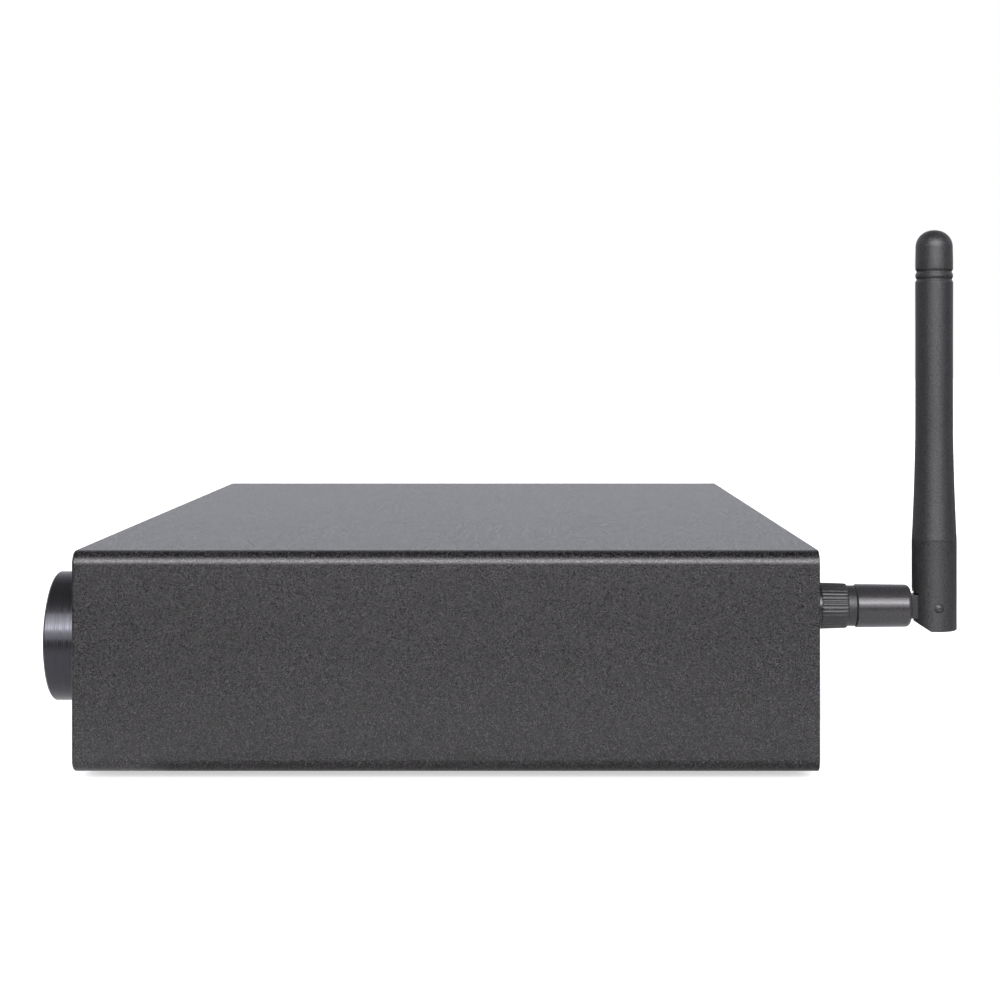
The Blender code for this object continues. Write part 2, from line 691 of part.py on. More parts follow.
# ------------------------------------------------------------------ antenna
def antenna_jack():
    """The screw connector in the rear panel, with its washer and hex nut, and the cable to the radio module."""
    axis = (ANTENNA_X, 0, PIVOT_Z)
    thread, bore, flange, tail = 3.15 * MM, 1.1 * MM, 4.6 * MM, 2.2 * MM
    end, flange_face, flange_back = REAR + 8.3 * MM, REAR_INSIDE - REST, REAR_INSIDE - 2.8 * MM
    tail_end = REAR - 11 * MM
    turned(
        "antenna_jack",
        [
            (0, end - 4.3 * MM), (bore, end - 4.3 * MM), (bore, end), (thread - 0.3 * MM, end),
            (thread, end - 0.3 * MM), (thread, flange_face), (flange, flange_face), (flange, flange_back),
            (tail, flange_back), (tail, tail_end), (0, tail_end),
        ],
        axis, "Y", "gold", steps=24,
    )
    washer_face, nut_face = REAR_FACE + 0.15 * MM, REAR_FACE + 1 * MM
    turned(
        "jack_washer",
        [(3.4 * MM, nut_face - 0.15 * MM), (5.2 * MM, nut_face - 0.15 * MM), (5.2 * MM, washer_face), (3.4 * MM, washer_face)],
        axis, "Y", "steel", steps=24, closed=True,
    )
    nut = rod("jack_nut", 4.62 * MM, nut_face, nut_face + 2.2 * MM, axis, "Y", "gold", sides=6)
    cut(nut, rod("jack_nut_bore", 3.4 * MM, REAR, REAR + 10 * MM, axis))

    route = [
        Vector((ANTENNA_X, tail_end - 0.4 * MM, PIVOT_Z)),
        Vector((ANTENNA_X, REAR - 17 * MM, PIVOT_Z)),
        Vector((ANTENNA_X - 1 * MM, REAR - 25 * MM, PIVOT_Z - 3 * MM)),
        Vector((ANTENNA_X - 6 * MM, REAR - 33 * MM, PIVOT_Z - 9 * MM)),
        Vector((64 * MM, REAR - 37 * MM, ON_BOARD + 6 * MM)),
        Vector((62 * MM, REAR - 38 * MM, ON_BOARD + 3.2 * MM)),
    ]
    cable("antenna_coax", route, 0.65 * MM)


def cable(name, route, radius, per_stretch=4):
    """A round cable on a smooth curve through the route's points."""
    ends = [2 * route[0] - route[1], *route, 2 * route[-1] - route[-2]]
    line = []
    for before, start, end, after in zip(ends, ends[1:], ends[2:], ends[3:]):
        for step in range(per_stretch):
            t = step / per_stretch
            line.append(
                0.5 * (
                    2 * start + (end - before) * t + (2 * before - 5 * start + 4 * end - after) * t**2
                    + (3 * start - before - 3 * end + after) * t**3
                )
            )
    line.append(route[-1])
    curve = bpy.data.curves.new(name, "CURVE")
    curve.dimensions = "3D"
    curve.bevel_depth = radius
    curve.bevel_resolution = 2
    curve.use_fill_caps = True
    spline = curve.splines.new("POLY")
    spline.points.add(len(line) - 1)
    for point, place_at in zip(spline.points, line):
        point.co = (*place_at, 1)
    curve.materials.append(finish("copper_cable"))
    made = bpy.data.objects.new(name, curve)
    PARTS.objects.link(made)
    return made


def antenna_grip(axis):
    """The knurled plastic grip over the metal coupling; both turn together on the ferrule."""
    shape = bmesh.new()
    bmesh.ops.create_cone(
        shape, cap_ends=True, segments=2 * KNURL_RIDGES, radius1=GRIP_RADIUS, radius2=GRIP_TIP_RADIUS,
        depth=GRIP_KNURL_END - GRIP_START,
        matrix=TURN["Y"] @ Matrix.Translation((0, 0, (GRIP_START + GRIP_KNURL_END) / 2)),
    )
    shape.verts.ensure_lookup_table()
    slice_angle = math.pi / KNURL_RIDGES
    draw_in = 1 - KNURL_DEPTH / GRIP_RADIUS
    for vert in shape.verts:
        if round(math.atan2(vert.co.z, vert.co.x) / slice_angle) % 2:
            vert.co.x *= draw_in
            vert.co.z *= draw_in
    grip = place("antenna_grip", mesh_from("antenna_grip", shape), axis, "antenna_plastic")
    fuse(grip, rod("grip_ring", GRIP_RING_RADIUS, GRIP_KNURL_END - 1 * MM, GRIP_RING_END, axis, sides=36))
    cut(
        grip,
        rod("grip_bore", 4.15 * MM, GRIP_START - 5 * MM, GRIP_KNURL_END - 0.1 * MM, axis, sides=36),
        rod("grip_neck", 2.35 * MM, GRIP_START, GRIP_RING_END + 5 * MM, axis, sides=24),
    )
    outer, flange, thread, neck = 4 * MM, 5 * MM, 3.24 * MM, 2.08 * MM
    end, shoulder, start = GRIP_KNURL_END - 0.4 * MM, GRIP_KNURL_END - 1.2 * MM, GRIP_START - 1.3 * MM
    coupling = turned(
        "antenna_coupling",
        [
            (neck, end), (outer, end), (outer, GRIP_START - 0.15 * MM), (flange, GRIP_START - 0.15 * MM),
            (flange, start + 0.3 * MM), (flange - 0.3 * MM, start), (thread, start), (thread, shoulder), (neck, shoulder),
        ],
        axis, "Y", "black_steel", steps=28, closed=True,
    )
    return grip, coupling


def antenna_barrel(axis):
    """The swivelling barrel on its ferrule, and the tongue that the mast's fork straddles."""
    bore, bore_end, rounding = 2.08 * MM, BARREL_START + 6 * MM, 0.95 * MM
    corner = [
        (
            BARREL_TIP_RADIUS - rounding + rounding * math.sin(math.pi / 2 * step / 4),
            BARREL_END - rounding + rounding * math.cos(math.pi / 2 * step / 4),
        )
        for step in range(5)
    ]
    barrel = turned(
        "antenna_barrel",
        [
            (0, BARREL_END), *corner, (BARREL_RADIUS, BARREL_START + 0.3 * MM), (BARREL_RADIUS - 0.3 * MM, BARREL_START),
            (bore, BARREL_START), (bore, bore_end), (0, bore_end),
        ],
        axis, "Y", "antenna_plastic", steps=36,
    )
    pivot = (ANTENNA_X, PIVOT_Y, PIVOT_Z)
    half = Vector((TONGUE_HALF_THICKNESS, 0, TONGUE_HALF_HEIGHT))
    tongue = between(
        "tongue_block", Vector((ANTENNA_X, BARREL_END - 2 * MM, PIVOT_Z)) - half, Vector(pivot) + half
    )
    fuse(
        barrel, tongue,
        rod("tongue_round", TONGUE_HALF_HEIGHT, -TONGUE_HALF_THICKNESS, TONGUE_HALF_THICKNESS, pivot, "X", sides=40),
    )
    cut(barrel, rod("tongue_hole", PIN_RADIUS + 0.1 * MM, -8 * MM, 8 * MM, pivot, "X", sides=24))

    flange_face = REAR + 8.7 * MM
    flange_back, end = flange_face + 1.1 * MM, bore_end - 0.2 * MM
    ferrule = turned(
        "antenna_ferrule",
        [
            (0, end), (2 * MM, end), (2 * MM, flange_back), (3 * MM, flange_back), (3 * MM, flange_face),
            (0.6 * MM, flange_face), (0.6 * MM, flange_face - 3.9 * MM), (0, flange_face - 3.9 * MM),
        ],
        axis, "Y", "gold", steps=24,
    )
    return barrel, ferrule


def whip_profile():
    """(height above the pivot, radius) down the whip cover: dome, two snap grooves, straight stem and flared foot."""
    dome_height, dome_radius, dome_steps = 3.9 * MM, 4.05 * MM, 6
    dome = [
        (
            MAST_TOP - dome_height * (1 - math.cos(math.pi / 2 * step / dome_steps)),
            dome_radius * math.sin(math.pi / 2 * step / dome_steps) ** 0.92,
        )
        for step in range(dome_steps + 1)
    ]
    grooves = [
        (74.8 * MM, 4.13 * MM), (74.1 * MM, 3.74 * MM), (73.5 * MM, 4.1 * MM), (73.1 * MM, 4.1 * MM),
        (72.5 * MM, 3.76 * MM), (71.8 * MM, 4.14 * MM),
    ]
    stem = [(57 * MM, 4.12 * MM), (41 * MM, 4.13 * MM)]
    flare_top, flare_bottom, thin, wide, flare_steps = 37 * MM, FORK_TOP + 0.15 * MM, 4.15 * MM, 4.91 * MM, 5
    flare = []
    for step in range(flare_steps + 1):
        share = step / flare_steps
        ease = share ** 1.25
        flare.append((flare_top + (flare_bottom - flare_top) * share, thin + (wide - thin) * ease))
    return dome + grooves + stem + flare


def antenna_mast(pivot):
    """The fork that hinges on the tongue, its pin, the whip cover and the radiator inside it."""
    fork = turned(
        "antenna_fork",
        [
            (0, FORK_TOP + 6 * MM), (SPIGOT_RADIUS, FORK_TOP + 6 * MM), (SPIGOT_RADIUS, FORK_TOP), (MAST_RADIUS, FORK_TOP),
            (MAST_RADIUS, 0.2 * MM - MAST_BOTTOM), (MAST_RADIUS - 0.2 * MM, -MAST_BOTTOM), (0, -MAST_BOTTOM),
        ],
        pivot, "Z", "antenna_plastic", steps=36,
    )
    centre = Vector(pivot)
    slot = between(
        "fork_slot", centre + Vector((-SLOT_HALF_WIDTH, -8 * MM, -8 * MM)),
        centre + Vector((SLOT_HALF_WIDTH, SLOT_REACH, SLOT_REACH)),
    )

    def slope_cut(name, upper, lower):
        """A cutter that takes off what lies in front of and below a sloping line, given in (y, z) from the pivot."""
        slope = math.atan2(lower.y - upper.y, lower.x - upper.x)
        outwards = Vector((math.sin(slope), -math.cos(slope)))
        across = (upper + lower) / 2 + outwards * 5 * MM
        wedge = box(name, (20 * MM, 20 * MM, 10 * MM), centre + Vector((0, across.x, across.y)))
        wedge.rotation_euler = (slope, 0, 0)
        return wedge

    # the cheeks' lower front corners clear the barrel as the mast folds back
    corner = slope_cut("fork_corner", Vector((-3.9 * MM, -3.8 * MM)), Vector((-1.6 * MM, -5.25 * MM)))
    # the front wall is bevelled where it meets the slot
    lip = box("fork_lip", (20 * MM, 3 * MM, 3 * MM), centre + Vector((0, -5.95 * MM, 2.7 * MM)))
    lip.rotation_euler = (math.radians(20), 0, 0)
    hole = rod("fork_hole", PIN_RADIUS + 0.05 * MM, -8 * MM, 8 * MM, pivot, "X", sides=24)
    feed = rod("fork_feed", 1.2 * MM, 1 * MM, FORK_TOP + 10 * MM, pivot, "Z", sides=16)
    cut(fork, slot, lip, corner, hole, feed)

    domed, flat = 5.1 * MM, 4.8 * MM
    pin = turned(
        "antenna_hinge_pin",
        [
            (0, domed), (0.55 * MM, domed - 0.1 * MM), (PIN_RADIUS, flat),
            (PIN_RADIUS, -flat), (0.55 * MM, 0.1 * MM - domed), (0, -domed),
        ],
        pivot, "X", "antenna_plastic", steps=20,
    )
    outside = [(radius, height) for height, radius in whip_profile()]
    inner = SPIGOT_RADIUS + 0.15 * MM
    foot_z, ceiling = outside[-1][1], MAST_TOP - 6 * MM
    whip = turned(
        "antenna_whip", [*outside, (inner, foot_z), (inner, ceiling), (0, ceiling)], pivot, "Z", "antenna_plastic", steps=32
    )
    radiator = rod("antenna_radiator", 1 * MM, 5 * MM, 66 * MM, pivot, "Z", "gold", sides=12)
    return fork, pin, whip, radiator


def antenna():
    antenna_jack()
    axis = (ANTENNA_X, 0, PIVOT_Z)
    pivot = (ANTENNA_X, PIVOT_Y, PIVOT_Z)
    joint_axis("grip_axis", axis, *antenna_grip(axis))
    joint_axis("swivel_axis", axis, *antenna_barrel(axis))
    joint_axis("tilt_axis", pivot, *antenna_mast(pivot))


case_sleeve()
front_panel()
front_carrier()
rear_panel()
feet()
volume_control()
push_button("standby", STANDBY_X)
push_button("source", SOURCE_X)
display()
front_ribbon()
main_board()
rca_sockets()
optical_socket()
power_inlet()
power_switch()
antenna()
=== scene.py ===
# %% [markdown]
# # A bluetooth audio receiver
# A low charcoal case with a turned volume knob at the front and a hinged, screw-on antenna at the back.
# The solid model is the frame: it is loaded once, its pieces keep their places, and everything below gives
# them finer surfaces and finishes. Lengths are in metres and +Z is up. The front panel faces -Y.

# %% load the solid model
import json
import math

import bmesh
import bpy
import numpy as np
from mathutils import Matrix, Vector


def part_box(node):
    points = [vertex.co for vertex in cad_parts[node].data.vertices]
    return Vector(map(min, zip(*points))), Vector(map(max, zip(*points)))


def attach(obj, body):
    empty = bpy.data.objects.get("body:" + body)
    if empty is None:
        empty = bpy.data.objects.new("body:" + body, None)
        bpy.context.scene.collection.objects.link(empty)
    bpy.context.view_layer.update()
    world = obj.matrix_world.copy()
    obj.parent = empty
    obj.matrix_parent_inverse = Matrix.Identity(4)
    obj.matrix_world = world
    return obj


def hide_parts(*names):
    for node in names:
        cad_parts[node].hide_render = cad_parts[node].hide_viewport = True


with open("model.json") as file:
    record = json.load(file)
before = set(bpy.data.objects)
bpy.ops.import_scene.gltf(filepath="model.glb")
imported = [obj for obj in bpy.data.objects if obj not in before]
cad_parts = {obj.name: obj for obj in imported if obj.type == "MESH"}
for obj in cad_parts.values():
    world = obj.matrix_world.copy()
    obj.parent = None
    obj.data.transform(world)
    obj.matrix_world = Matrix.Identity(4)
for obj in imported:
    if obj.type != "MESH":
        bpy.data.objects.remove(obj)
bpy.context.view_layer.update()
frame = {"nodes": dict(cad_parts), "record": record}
MM = 0.001

# %% [markdown]
# ## The camera
# The object is seen square on to its right side, from a little above it. A camera that looks level keeps upright
# edges upright; the lens is then shifted down, as on a view camera, to bring the low case into the picture.

# %% camera
case_low, case_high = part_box("case_sleeve")
HALF_WIDTH, FRONT, REAR = case_high.x, case_low.y, case_high.y
BASE, TOP = case_low.z, case_high.z
MIDDLE = (BASE + TOP) / 2
OUT, BACK, UP = 380.6 * MM, 15.63 * MM, 84.5 * MM  # from the side's foot, halfway along it
EYE = (HALF_WIDTH + OUT, (FRONT + REAR) / 2 + BACK, BASE + UP)

camera = bpy.data.objects.new("camera", bpy.data.cameras.new("camera"))
bpy.context.scene.collection.objects.link(camera)
camera.location = EYE
camera.rotation_euler = (math.radians(90), 0, math.radians(90))
camera.data.sensor_width = 36
camera.data.lens = 67.14
camera.data.shift_x = -0.0223
camera.data.shift_y = -0.1404
camera.data.clip_start = 0.01
bpy.context.scene.camera = camera
print("camera at", [round(v, 4) for v in EYE])

# %% [markdown]
# ## Light and floor
# Black metal shows the room rather than itself, so the room does the work. In front of the object hangs a tall soft
# panel with a bright strip across it. The strip draws the long highlights on the knob, the antenna and the case's
# upper edge. The panel is brightest in a narrow core: a wide one would be mirrored in the top, seen from the far side,
# and wash it out. The ceiling is dark, which keeps the curves beside the highlights deep, and the backdrop is white.

# %% node helper and room
def add(tree, kind, sockets=None, **settings):
    """One node. A socket takes a plain value, or another node's output, which is then linked to it."""
    made = tree.nodes.new(kind)
    for key, value in settings.items():
        setattr(made, key, value)
    for key, value in (sockets or {}).items():
        if isinstance(value, bpy.types.NodeSocket):
            tree.links.new(value, made.inputs[key])
        else:
            made.inputs[key].default_value = value
    return made


def compute(tree, operation, *numbers):
    """The result of one Math node."""
    return add(tree, "ShaderNodeMath", dict(enumerate(numbers)), operation=operation).outputs[0]


def rescale(tree, value, low=0.0, high=1.0, to_low=0.0, to_high=1.0, smooth=False):
    """A number mapped from low..high onto to_low..to_high and held at both ends, in a straight line or smoothly."""
    limits = {"From Min": low, "From Max": high, "To Min": to_low, "To Max": to_high}
    course = "SMOOTHSTEP" if smooth else "LINEAR"
    return add(tree, "ShaderNodeMapRange", {"Value": value, **limits}, interpolation_type=course).outputs["Result"]


def between(tree, factor, first, second):
    """A number between two numbers, by a factor from 0 to 1."""
    return add(tree, "ShaderNodeMix", {"Factor": factor, "A": first, "B": second}, data_type="FLOAT").outputs[0]


def blend(tree, factor, first, second):
    """A colour between two colours, by a factor from 0 to 1. A plain colour is given as (red, green, blue)."""
    ends = [end if isinstance(end, bpy.types.NodeSocket) else (*end, 1) for end in (first, second)]
    return add(tree, "ShaderNodeMix", {0: factor, 6: ends[0], 7: ends[1]}, data_type="RGBA").outputs[2]


def ramp(tree, factor, scale, stops):
    """Brightness by a number from 0 to 1: straight lines between (number, brightness) stops. A ramp holds colours
    from 0 to 1, so the stops are divided by the scale and the result is multiplied by it."""
    made = add(tree, "ShaderNodeValToRGB", {0: factor})
    spots = made.color_ramp.elements
    while len(spots) < len(stops):
        spots.new(0.5)
    for spot, (place, value) in zip(spots, stops):
        spot.position = place
        spot.color = (value / scale, value / scale, value / scale, 1)
    return compute(tree, "MULTIPLY", made.outputs["Color"], scale)


# The sine of the elevation, then the brightness there. White paper is 1.
PANEL = [
    (0.0, 1.75), (0.06, 2.5), (0.13, 2.8), (0.2, 3.5), (0.275, 5.0), (0.3, 10.5), (0.325, 15.5), (0.4, 15.5),
    (0.44, 11.2), (0.5, 8.8), (0.57, 7.0), (0.63, 5.8), (0.7, 4.6), (0.735, 0.4), (0.85, 0.3), (0.9, 0.08),
]
BACKDROP = [
    (0.0, 0.83), (0.38, 0.8), (0.5, 0.72), (0.65, 0.58), (0.76, 0.42), (0.83, 0.24), (0.92, 0.08), (1.0, 0.05),
]
PANEL_SCALE, BACKDROP_SCALE = 16, 1  # no less than the brightest stop
# Degrees round from the panel's middle, where one thing gives way to the next, and what is left beyond.
PANEL_ENDS = (54, 30)
CORE_ENDS, CORE_REST = (36, 16), 0.5
WALLS, WALLS_REST = (75, 115), 0.4
PANEL_TINT, BACKDROP_TINT = (0.985, 0.96, 1.0), (0.945, 0.958, 1.03)


def build_room():
    """A white backdrop behind, the panel in front and dim walls between them, all by the direction of the ray.
    The camera itself sees plain white all round."""
    world = bpy.data.worlds.new("studio")
    world.use_nodes = True
    bpy.context.scene.world = world
    tree = world.node_tree
    tree.nodes.clear()
    way = add(tree, "ShaderNodeSeparateXYZ", {0: add(tree, "ShaderNodeTexCoord").outputs["Generated"]}).outputs
    off = compute(tree, "ABSOLUTE", compute(tree, "ARCTAN2", way[1], way[0]))
    in_panel = rescale(tree, off, *np.radians(PANEL_ENDS))
    core = rescale(tree, off, *np.radians(CORE_ENDS), to_low=CORE_REST, smooth=True)
    behind = rescale(tree, off, *np.radians(WALLS), to_low=WALLS_REST)
    panel = compute(tree, "MULTIPLY", ramp(tree, way[2], PANEL_SCALE, PANEL), compute(tree, "MULTIPLY", in_panel, core))
    wall = compute(tree, "MULTIPLY", ramp(tree, way[2], BACKDROP_SCALE, BACKDROP), behind)
    tint = blend(tree, in_panel, BACKDROP_TINT, PANEL_TINT)
    room = add(tree, "ShaderNodeBackground", {"Color": tint, "Strength": compute(tree, "ADD", panel, wall)}).outputs[0]
    plain = add(tree, "ShaderNodeBackground", {"Color": (1, 1, 1, 1), "Strength": 1.0}).outputs[0]
    seen = add(tree, "ShaderNodeLightPath").outputs["Is Camera Ray"]
    shown = add(tree, "ShaderNodeMixShader", {0: seen, 1: room, 2: plain}).outputs[0]
    add(tree, "ShaderNodeOutputWorld", {"Surface": shown})


build_room()
bpy.context.scene.view_settings.view_transform = "Standard"
print("room ready")

# %% [markdown]
# ### The floor
# White paper. It glows a little, so that it reads as pale as the backdrop and the shadow on it stays light. The camera
# sees it white everywhere. Reflections see it fade to dark between 16 and 25 cm from the object's middle, which draws
# the lower edge of the highlights. A painted shadow darkens it further in a strip beside the case, seen only in
# reflections, which deepens the case's lower edge.

# %% floor
PAPER_END, DARK_FROM, DARKNESS = 160 * MM, 255 * MM, 0.1
# The strip beside the case is a painted shadow on the floor, half as bright along its darkest line.
STRIP_AT, PAINTED_SHADOW_LEVEL, STRIP_REACH = HALF_WIDTH + 4 * MM, 0.5, 30 * MM
STRIP_END, STRIP_FADE = (REAR - FRONT) / 2, 8 * MM
PAPER, GLOW_IN_REFLECTIONS, GLOW_SEEN = (0.92, 0.92, 0.92), 0.15, 0.55


def finish_floor():
    """Shade = the paper's fade × the painted shadow's. The painted shadow is a strip, darkest along a line beside the
    case, and its distance from that line grows quickly past the case's ends, so it stops there."""
    paper = bpy.data.materials.new("white_paper")
    paper.use_nodes = True
    tree = paper.node_tree
    shader = tree.nodes["Principled BSDF"]
    shader.inputs["Roughness"].default_value = 0.9
    shader.inputs["Specular IOR Level"].default_value = 0.0
    shader.inputs["Emission Color"].default_value = (1, 1, 1, 1)
    here = add(tree, "ShaderNodeTexCoord").outputs["Object"]
    away = add(tree, "ShaderNodeVectorMath", {0: here}, operation="LENGTH").outputs["Value"]
    paper_lit = rescale(tree, away, PAPER_END, DARK_FROM, 1.0, DARKNESS, smooth=True)
    place = add(tree, "ShaderNodeSeparateXYZ", {0: here}).outputs
    beside = compute(tree, "ABSOLUTE", compute(tree, "SUBTRACT", place[0], STRIP_AT))
    past_end = rescale(tree, compute(tree, "ABSOLUTE", place[1]), STRIP_END - STRIP_FADE, STRIP_END, 0.0, STRIP_REACH)
    # Painted shadow beside the case, which only reflections see.
    painted_shadow_lit = rescale(tree, compute(tree, "ADD", beside, past_end), 0.0, STRIP_REACH, PAINTED_SHADOW_LEVEL, smooth=True)
    seen = add(tree, "ShaderNodeLightPath").outputs["Is Camera Ray"]
    shade = compute(tree, "MAXIMUM", compute(tree, "MULTIPLY", paper_lit, painted_shadow_lit), seen)
    glow = compute(tree, "MULTIPLY", between(tree, seen, GLOW_IN_REFLECTIONS, GLOW_SEEN), shade)
    tree.links.new(blend(tree, shade, (0, 0, 0), PAPER), shader.inputs["Base Color"])
    tree.links.new(glow, shader.inputs["Emission Strength"])
    return paper


floor_mesh = bpy.data.meshes.new("floor")
floor_mesh.from_pydata([(-8, -8, 0), (8, -8, 0), (8, 8, 0), (-8, 8, 0)], [], [(0, 1, 2, 3)])
floor = bpy.data.objects.new("floor", floor_mesh)
bpy.context.scene.collection.objects.link(floor)
floor_mesh.materials.append(finish_floor())
print("floor ready")

# %% [markdown]
# ## Surfaces as lofts
# Nearly every visible piece here is turned, drawn or extruded, so one idea makes them all: a stack of closed loops,
# each with the same number of points, joined row to row. Turned pieces use circles as loops; the case uses its own
# outline; the knurled grip uses a circle whose radius ripples. All loops are computed at once as one array.

# %% lofting helpers
PIECES = {}


def fillet(corners, arc=5, closed=False):
    """Rounds a path of (across, along, radius) rows.
    A corner's arc starts and ends radius / tan(half the corner's angle) away from it. The points between turn evenly
    about a centre on the corner's bisector, radius / sin(half the angle) away from the corner."""
    rows = np.asarray(corners, float)
    point, radius = rows[:, :2], rows[:, 2]
    if closed:
        before, at, after = np.roll(point, 1, axis=0), point, np.roll(point, -1, axis=0)
    else:
        before, at, after, radius = point[:-2], point[1:-1], point[2:], radius[1:-1]
    back = (before - at) / np.linalg.norm(before - at, axis=1)[:, None]
    on = (after - at) / np.linalg.norm(after - at, axis=1)[:, None]
    half = np.arccos(np.clip((back * on).sum(1), -1, 1)) / 2
    start = at + back * (radius / np.tan(half))[:, None]
    end = at + on * (radius / np.tan(half))[:, None]
    bisector = (back + on) / np.linalg.norm(back + on, axis=1)[:, None]
    centre = at + bisector * (radius / np.sin(half))[:, None]
    turn = (math.pi - 2 * half)[:, None]
    share = np.linspace(0, 1, arc)[None, :]
    from_start = (np.sin((1 - share) * turn) / np.sin(turn))[..., None]
    from_end = (np.sin(share * turn) / np.sin(turn))[..., None]
    arcs = centre[:, None] + from_start * (start - centre)[:, None] + from_end * (end - centre)[:, None]
    line = arcs.reshape(-1, 2)
    return line if closed else np.concatenate([point[:1], line, point[-1:]])


def loft(name, loops, body, slot, nodes=(), ring=False, sharp=40):
    """A closed mesh from loops of shape (rows, points, 3): row i joins row i + 1, and each loop closes on itself.
    With ring, the last row joins the first. Points that coincide, as at a pole, are merged."""
    rows, columns = loops.shape[:2]
    index = np.arange(rows * columns).reshape(rows, columns)
    if ring:
        index = np.vstack([index, index[:1]])
    beside = np.roll(index, -1, axis=1)
    quads = np.stack([index[:-1], beside[:-1], beside[1:], index[1:]], axis=-1).reshape(-1, 4)
    mesh = bpy.data.meshes.new(name)
    mesh.from_pydata(loops.reshape(-1, 3).tolist(), [], quads.tolist())
    return settle(name, mesh, body, slot, nodes, sharp)


def settle(name, mesh, body, slot, nodes=(), sharp=40):
    """Merges the mesh's doubles, turns its faces outwards, smooths it and lets it ride on its body."""
    tidy = bmesh.new()
    tidy.from_mesh(mesh)
    bmesh.ops.remove_doubles(tidy, verts=tidy.verts, dist=2e-7)
    bmesh.ops.recalc_face_normals(tidy, faces=tidy.faces)
    tidy.to_mesh(mesh)
    tidy.free()
    mesh.shade_smooth()
    mesh.set_sharp_from_angle(angle=math.radians(sharp))
    piece = bpy.data.objects.new(name, mesh)
    bpy.context.scene.collection.objects.link(piece)
    even = piece.modifiers.new("even shading", "WEIGHTED_NORMAL")
    even.keep_sharp = True
    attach(piece, body)
    if nodes:
        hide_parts(*nodes)
    PIECES[name] = slot
    return piece


AXES = {  # the axis itself, then the two directions across it
    "X": np.array([[1, 0, 0], [0, 1, 0], [0, 0, 1]], float),
    "Y": np.array([[0, 1, 0], [0, 0, 1], [1, 0, 0]], float),
    "Z": np.array([[0, 0, 1], [1, 0, 0], [0, 1, 0]], float),
}


def turned(profile, axis, centre, steps=96):
    """Loops of a lathe shape. A point at angle t on the row (radius, along) is
    centre + radius × (cos t × first side + sin t × second side) + along × axis."""
    along, side, up = AXES[axis]
    angle = np.linspace(0, 2 * math.pi, steps, endpoint=False)
    spoke = np.cos(angle)[:, None] * side + np.sin(angle)[:, None] * up
    radius, place = np.asarray(profile, float).T
    return np.asarray(centre, float) + radius[:, None, None] * spoke + place[:, None, None] * along


def rippled(radius, along, centre, across, upward):
    """Loops about a line along Y whose radius changes with the angle: one row of radii for each place along.
    A point is centre + radius × (across, upward), which are the angle's cosine and sine."""
    place = np.broadcast_to(along[:, None], radius.shape)
    return np.stack([centre[0] + radius * across, place, centre[2] + radius * upward], axis=-1)


def middle(node):
    """The middle of a solid's box."""
    low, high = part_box(node)
    return (np.array(low) + np.array(high)) / 2


print("helpers ready")

# %% [markdown]
# ## The case
# The case is a drawn aluminium tube. Its long edges are round, its front end is lightly broken so that it doesn't
# cut, and its rear end is sawn square. Inside, two rails a side hold the main board and a square boss runs along
# each corner for the screws. It could be a box with a Bevel modifier, but lofting one outline along the tube
# puts the rails and the bosses into the same surface.

# %% the tube
CORNER, BORE_CORNER, WALL = 2.8 * MM, 0.8 * MM, 2.5 * MM
FRONT_BREAK, REAR_BREAK = 0.6 * MM, 0.12 * MM
BOSS, BOSS_INSET = 6.5 * MM, 6.2 * MM
board_low, board_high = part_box("main_board")
RAIL_GAP, RAIL_THICK, RAIL_REACH = 0.3 * MM, 1.5 * MM, 2.5 * MM
RAIL_LEVELS = np.repeat(
    [board_low.z - RAIL_GAP - RAIL_THICK, board_low.z - RAIL_GAP, board_high.z + RAIL_GAP,
     board_high.z + RAIL_GAP + RAIL_THICK], 2,
)
RAIL_STANDS = np.array([0, 1, 1, 0, 0, 1, 1, 0])


def tube_outline(inset, radius, reach=0.0, boss=0.0, arc=15):
    """(x, z) points once round the tube, inset from its outside.
    The right half climbs through a quarter circle, the rails' levels and another quarter circle; the left half is its
    mirror image, coming down. With a boss, the quarter circles give way to a square step into the bore."""
    half, low, high = HALF_WIDTH - inset, BASE + inset, TOP - inset
    share = np.linspace(0, 1, arc)
    if boss:
        x = half - boss * np.clip(2 - 2 * share, 0, 1)
        step = boss * np.clip(2 * share, 0, 1)
        foot, head = np.stack([x, low + step], 1), np.stack([x, high - step], 1)[::-1]
    else:
        turn = share * math.pi / 2
        x = half - radius + radius * np.sin(turn)
        drop = radius - radius * np.cos(turn)
        foot, head = np.stack([x, low + drop], 1), np.stack([x, high - drop], 1)[::-1]
    side = np.stack([half - reach * RAIL_STANDS, RAIL_LEVELS], 1)
    right = np.concatenate([foot, side, head])
    return np.concatenate([right, right[::-1] * (-1, 1)])


def standing(outline, y):
    """Puts an (x, z) outline at one place along the tube."""
    return np.insert(outline, 1, y, axis=1)


def tube_loops():
    """From the front rim over the outside to the rear rim, then back through the bore."""
    ease = np.linspace(0, math.pi / 2, 6)
    loops = [
        standing(tube_outline(FRONT_BREAK * (1 - math.sin(t)), CORNER - FRONT_BREAK * (1 - math.sin(t))),
                 FRONT + FRONT_BREAK * (1 - math.cos(t)))
        for t in ease
    ]
    loops += [
        standing(tube_outline(REAR_BREAK * (1 - math.cos(t)), CORNER - REAR_BREAK * (1 - math.cos(t))),
                 REAR - REAR_BREAK * (1 - math.sin(t)))
        for t in ease
    ]
    plain = tube_outline(WALL, BORE_CORNER)
    railed = tube_outline(WALL, BORE_CORNER, RAIL_REACH, BOSS)
    boss_front, boss_rear = FRONT + BOSS_INSET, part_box("rear_panel")[0].y - 0.4 * MM
    for outline, y in ((plain, REAR), (plain, boss_rear), (railed, boss_rear), (railed, boss_front),
                       (plain, boss_front), (plain, FRONT)):
        loops.append(standing(outline, y))
    return np.stack(loops)


case_shell = loft("case_shell", tube_loops(), "case", "case_grey", ["case_sleeve"], ring=True, sharp=30)
print("tube:", len(case_shell.data.vertices), "points")

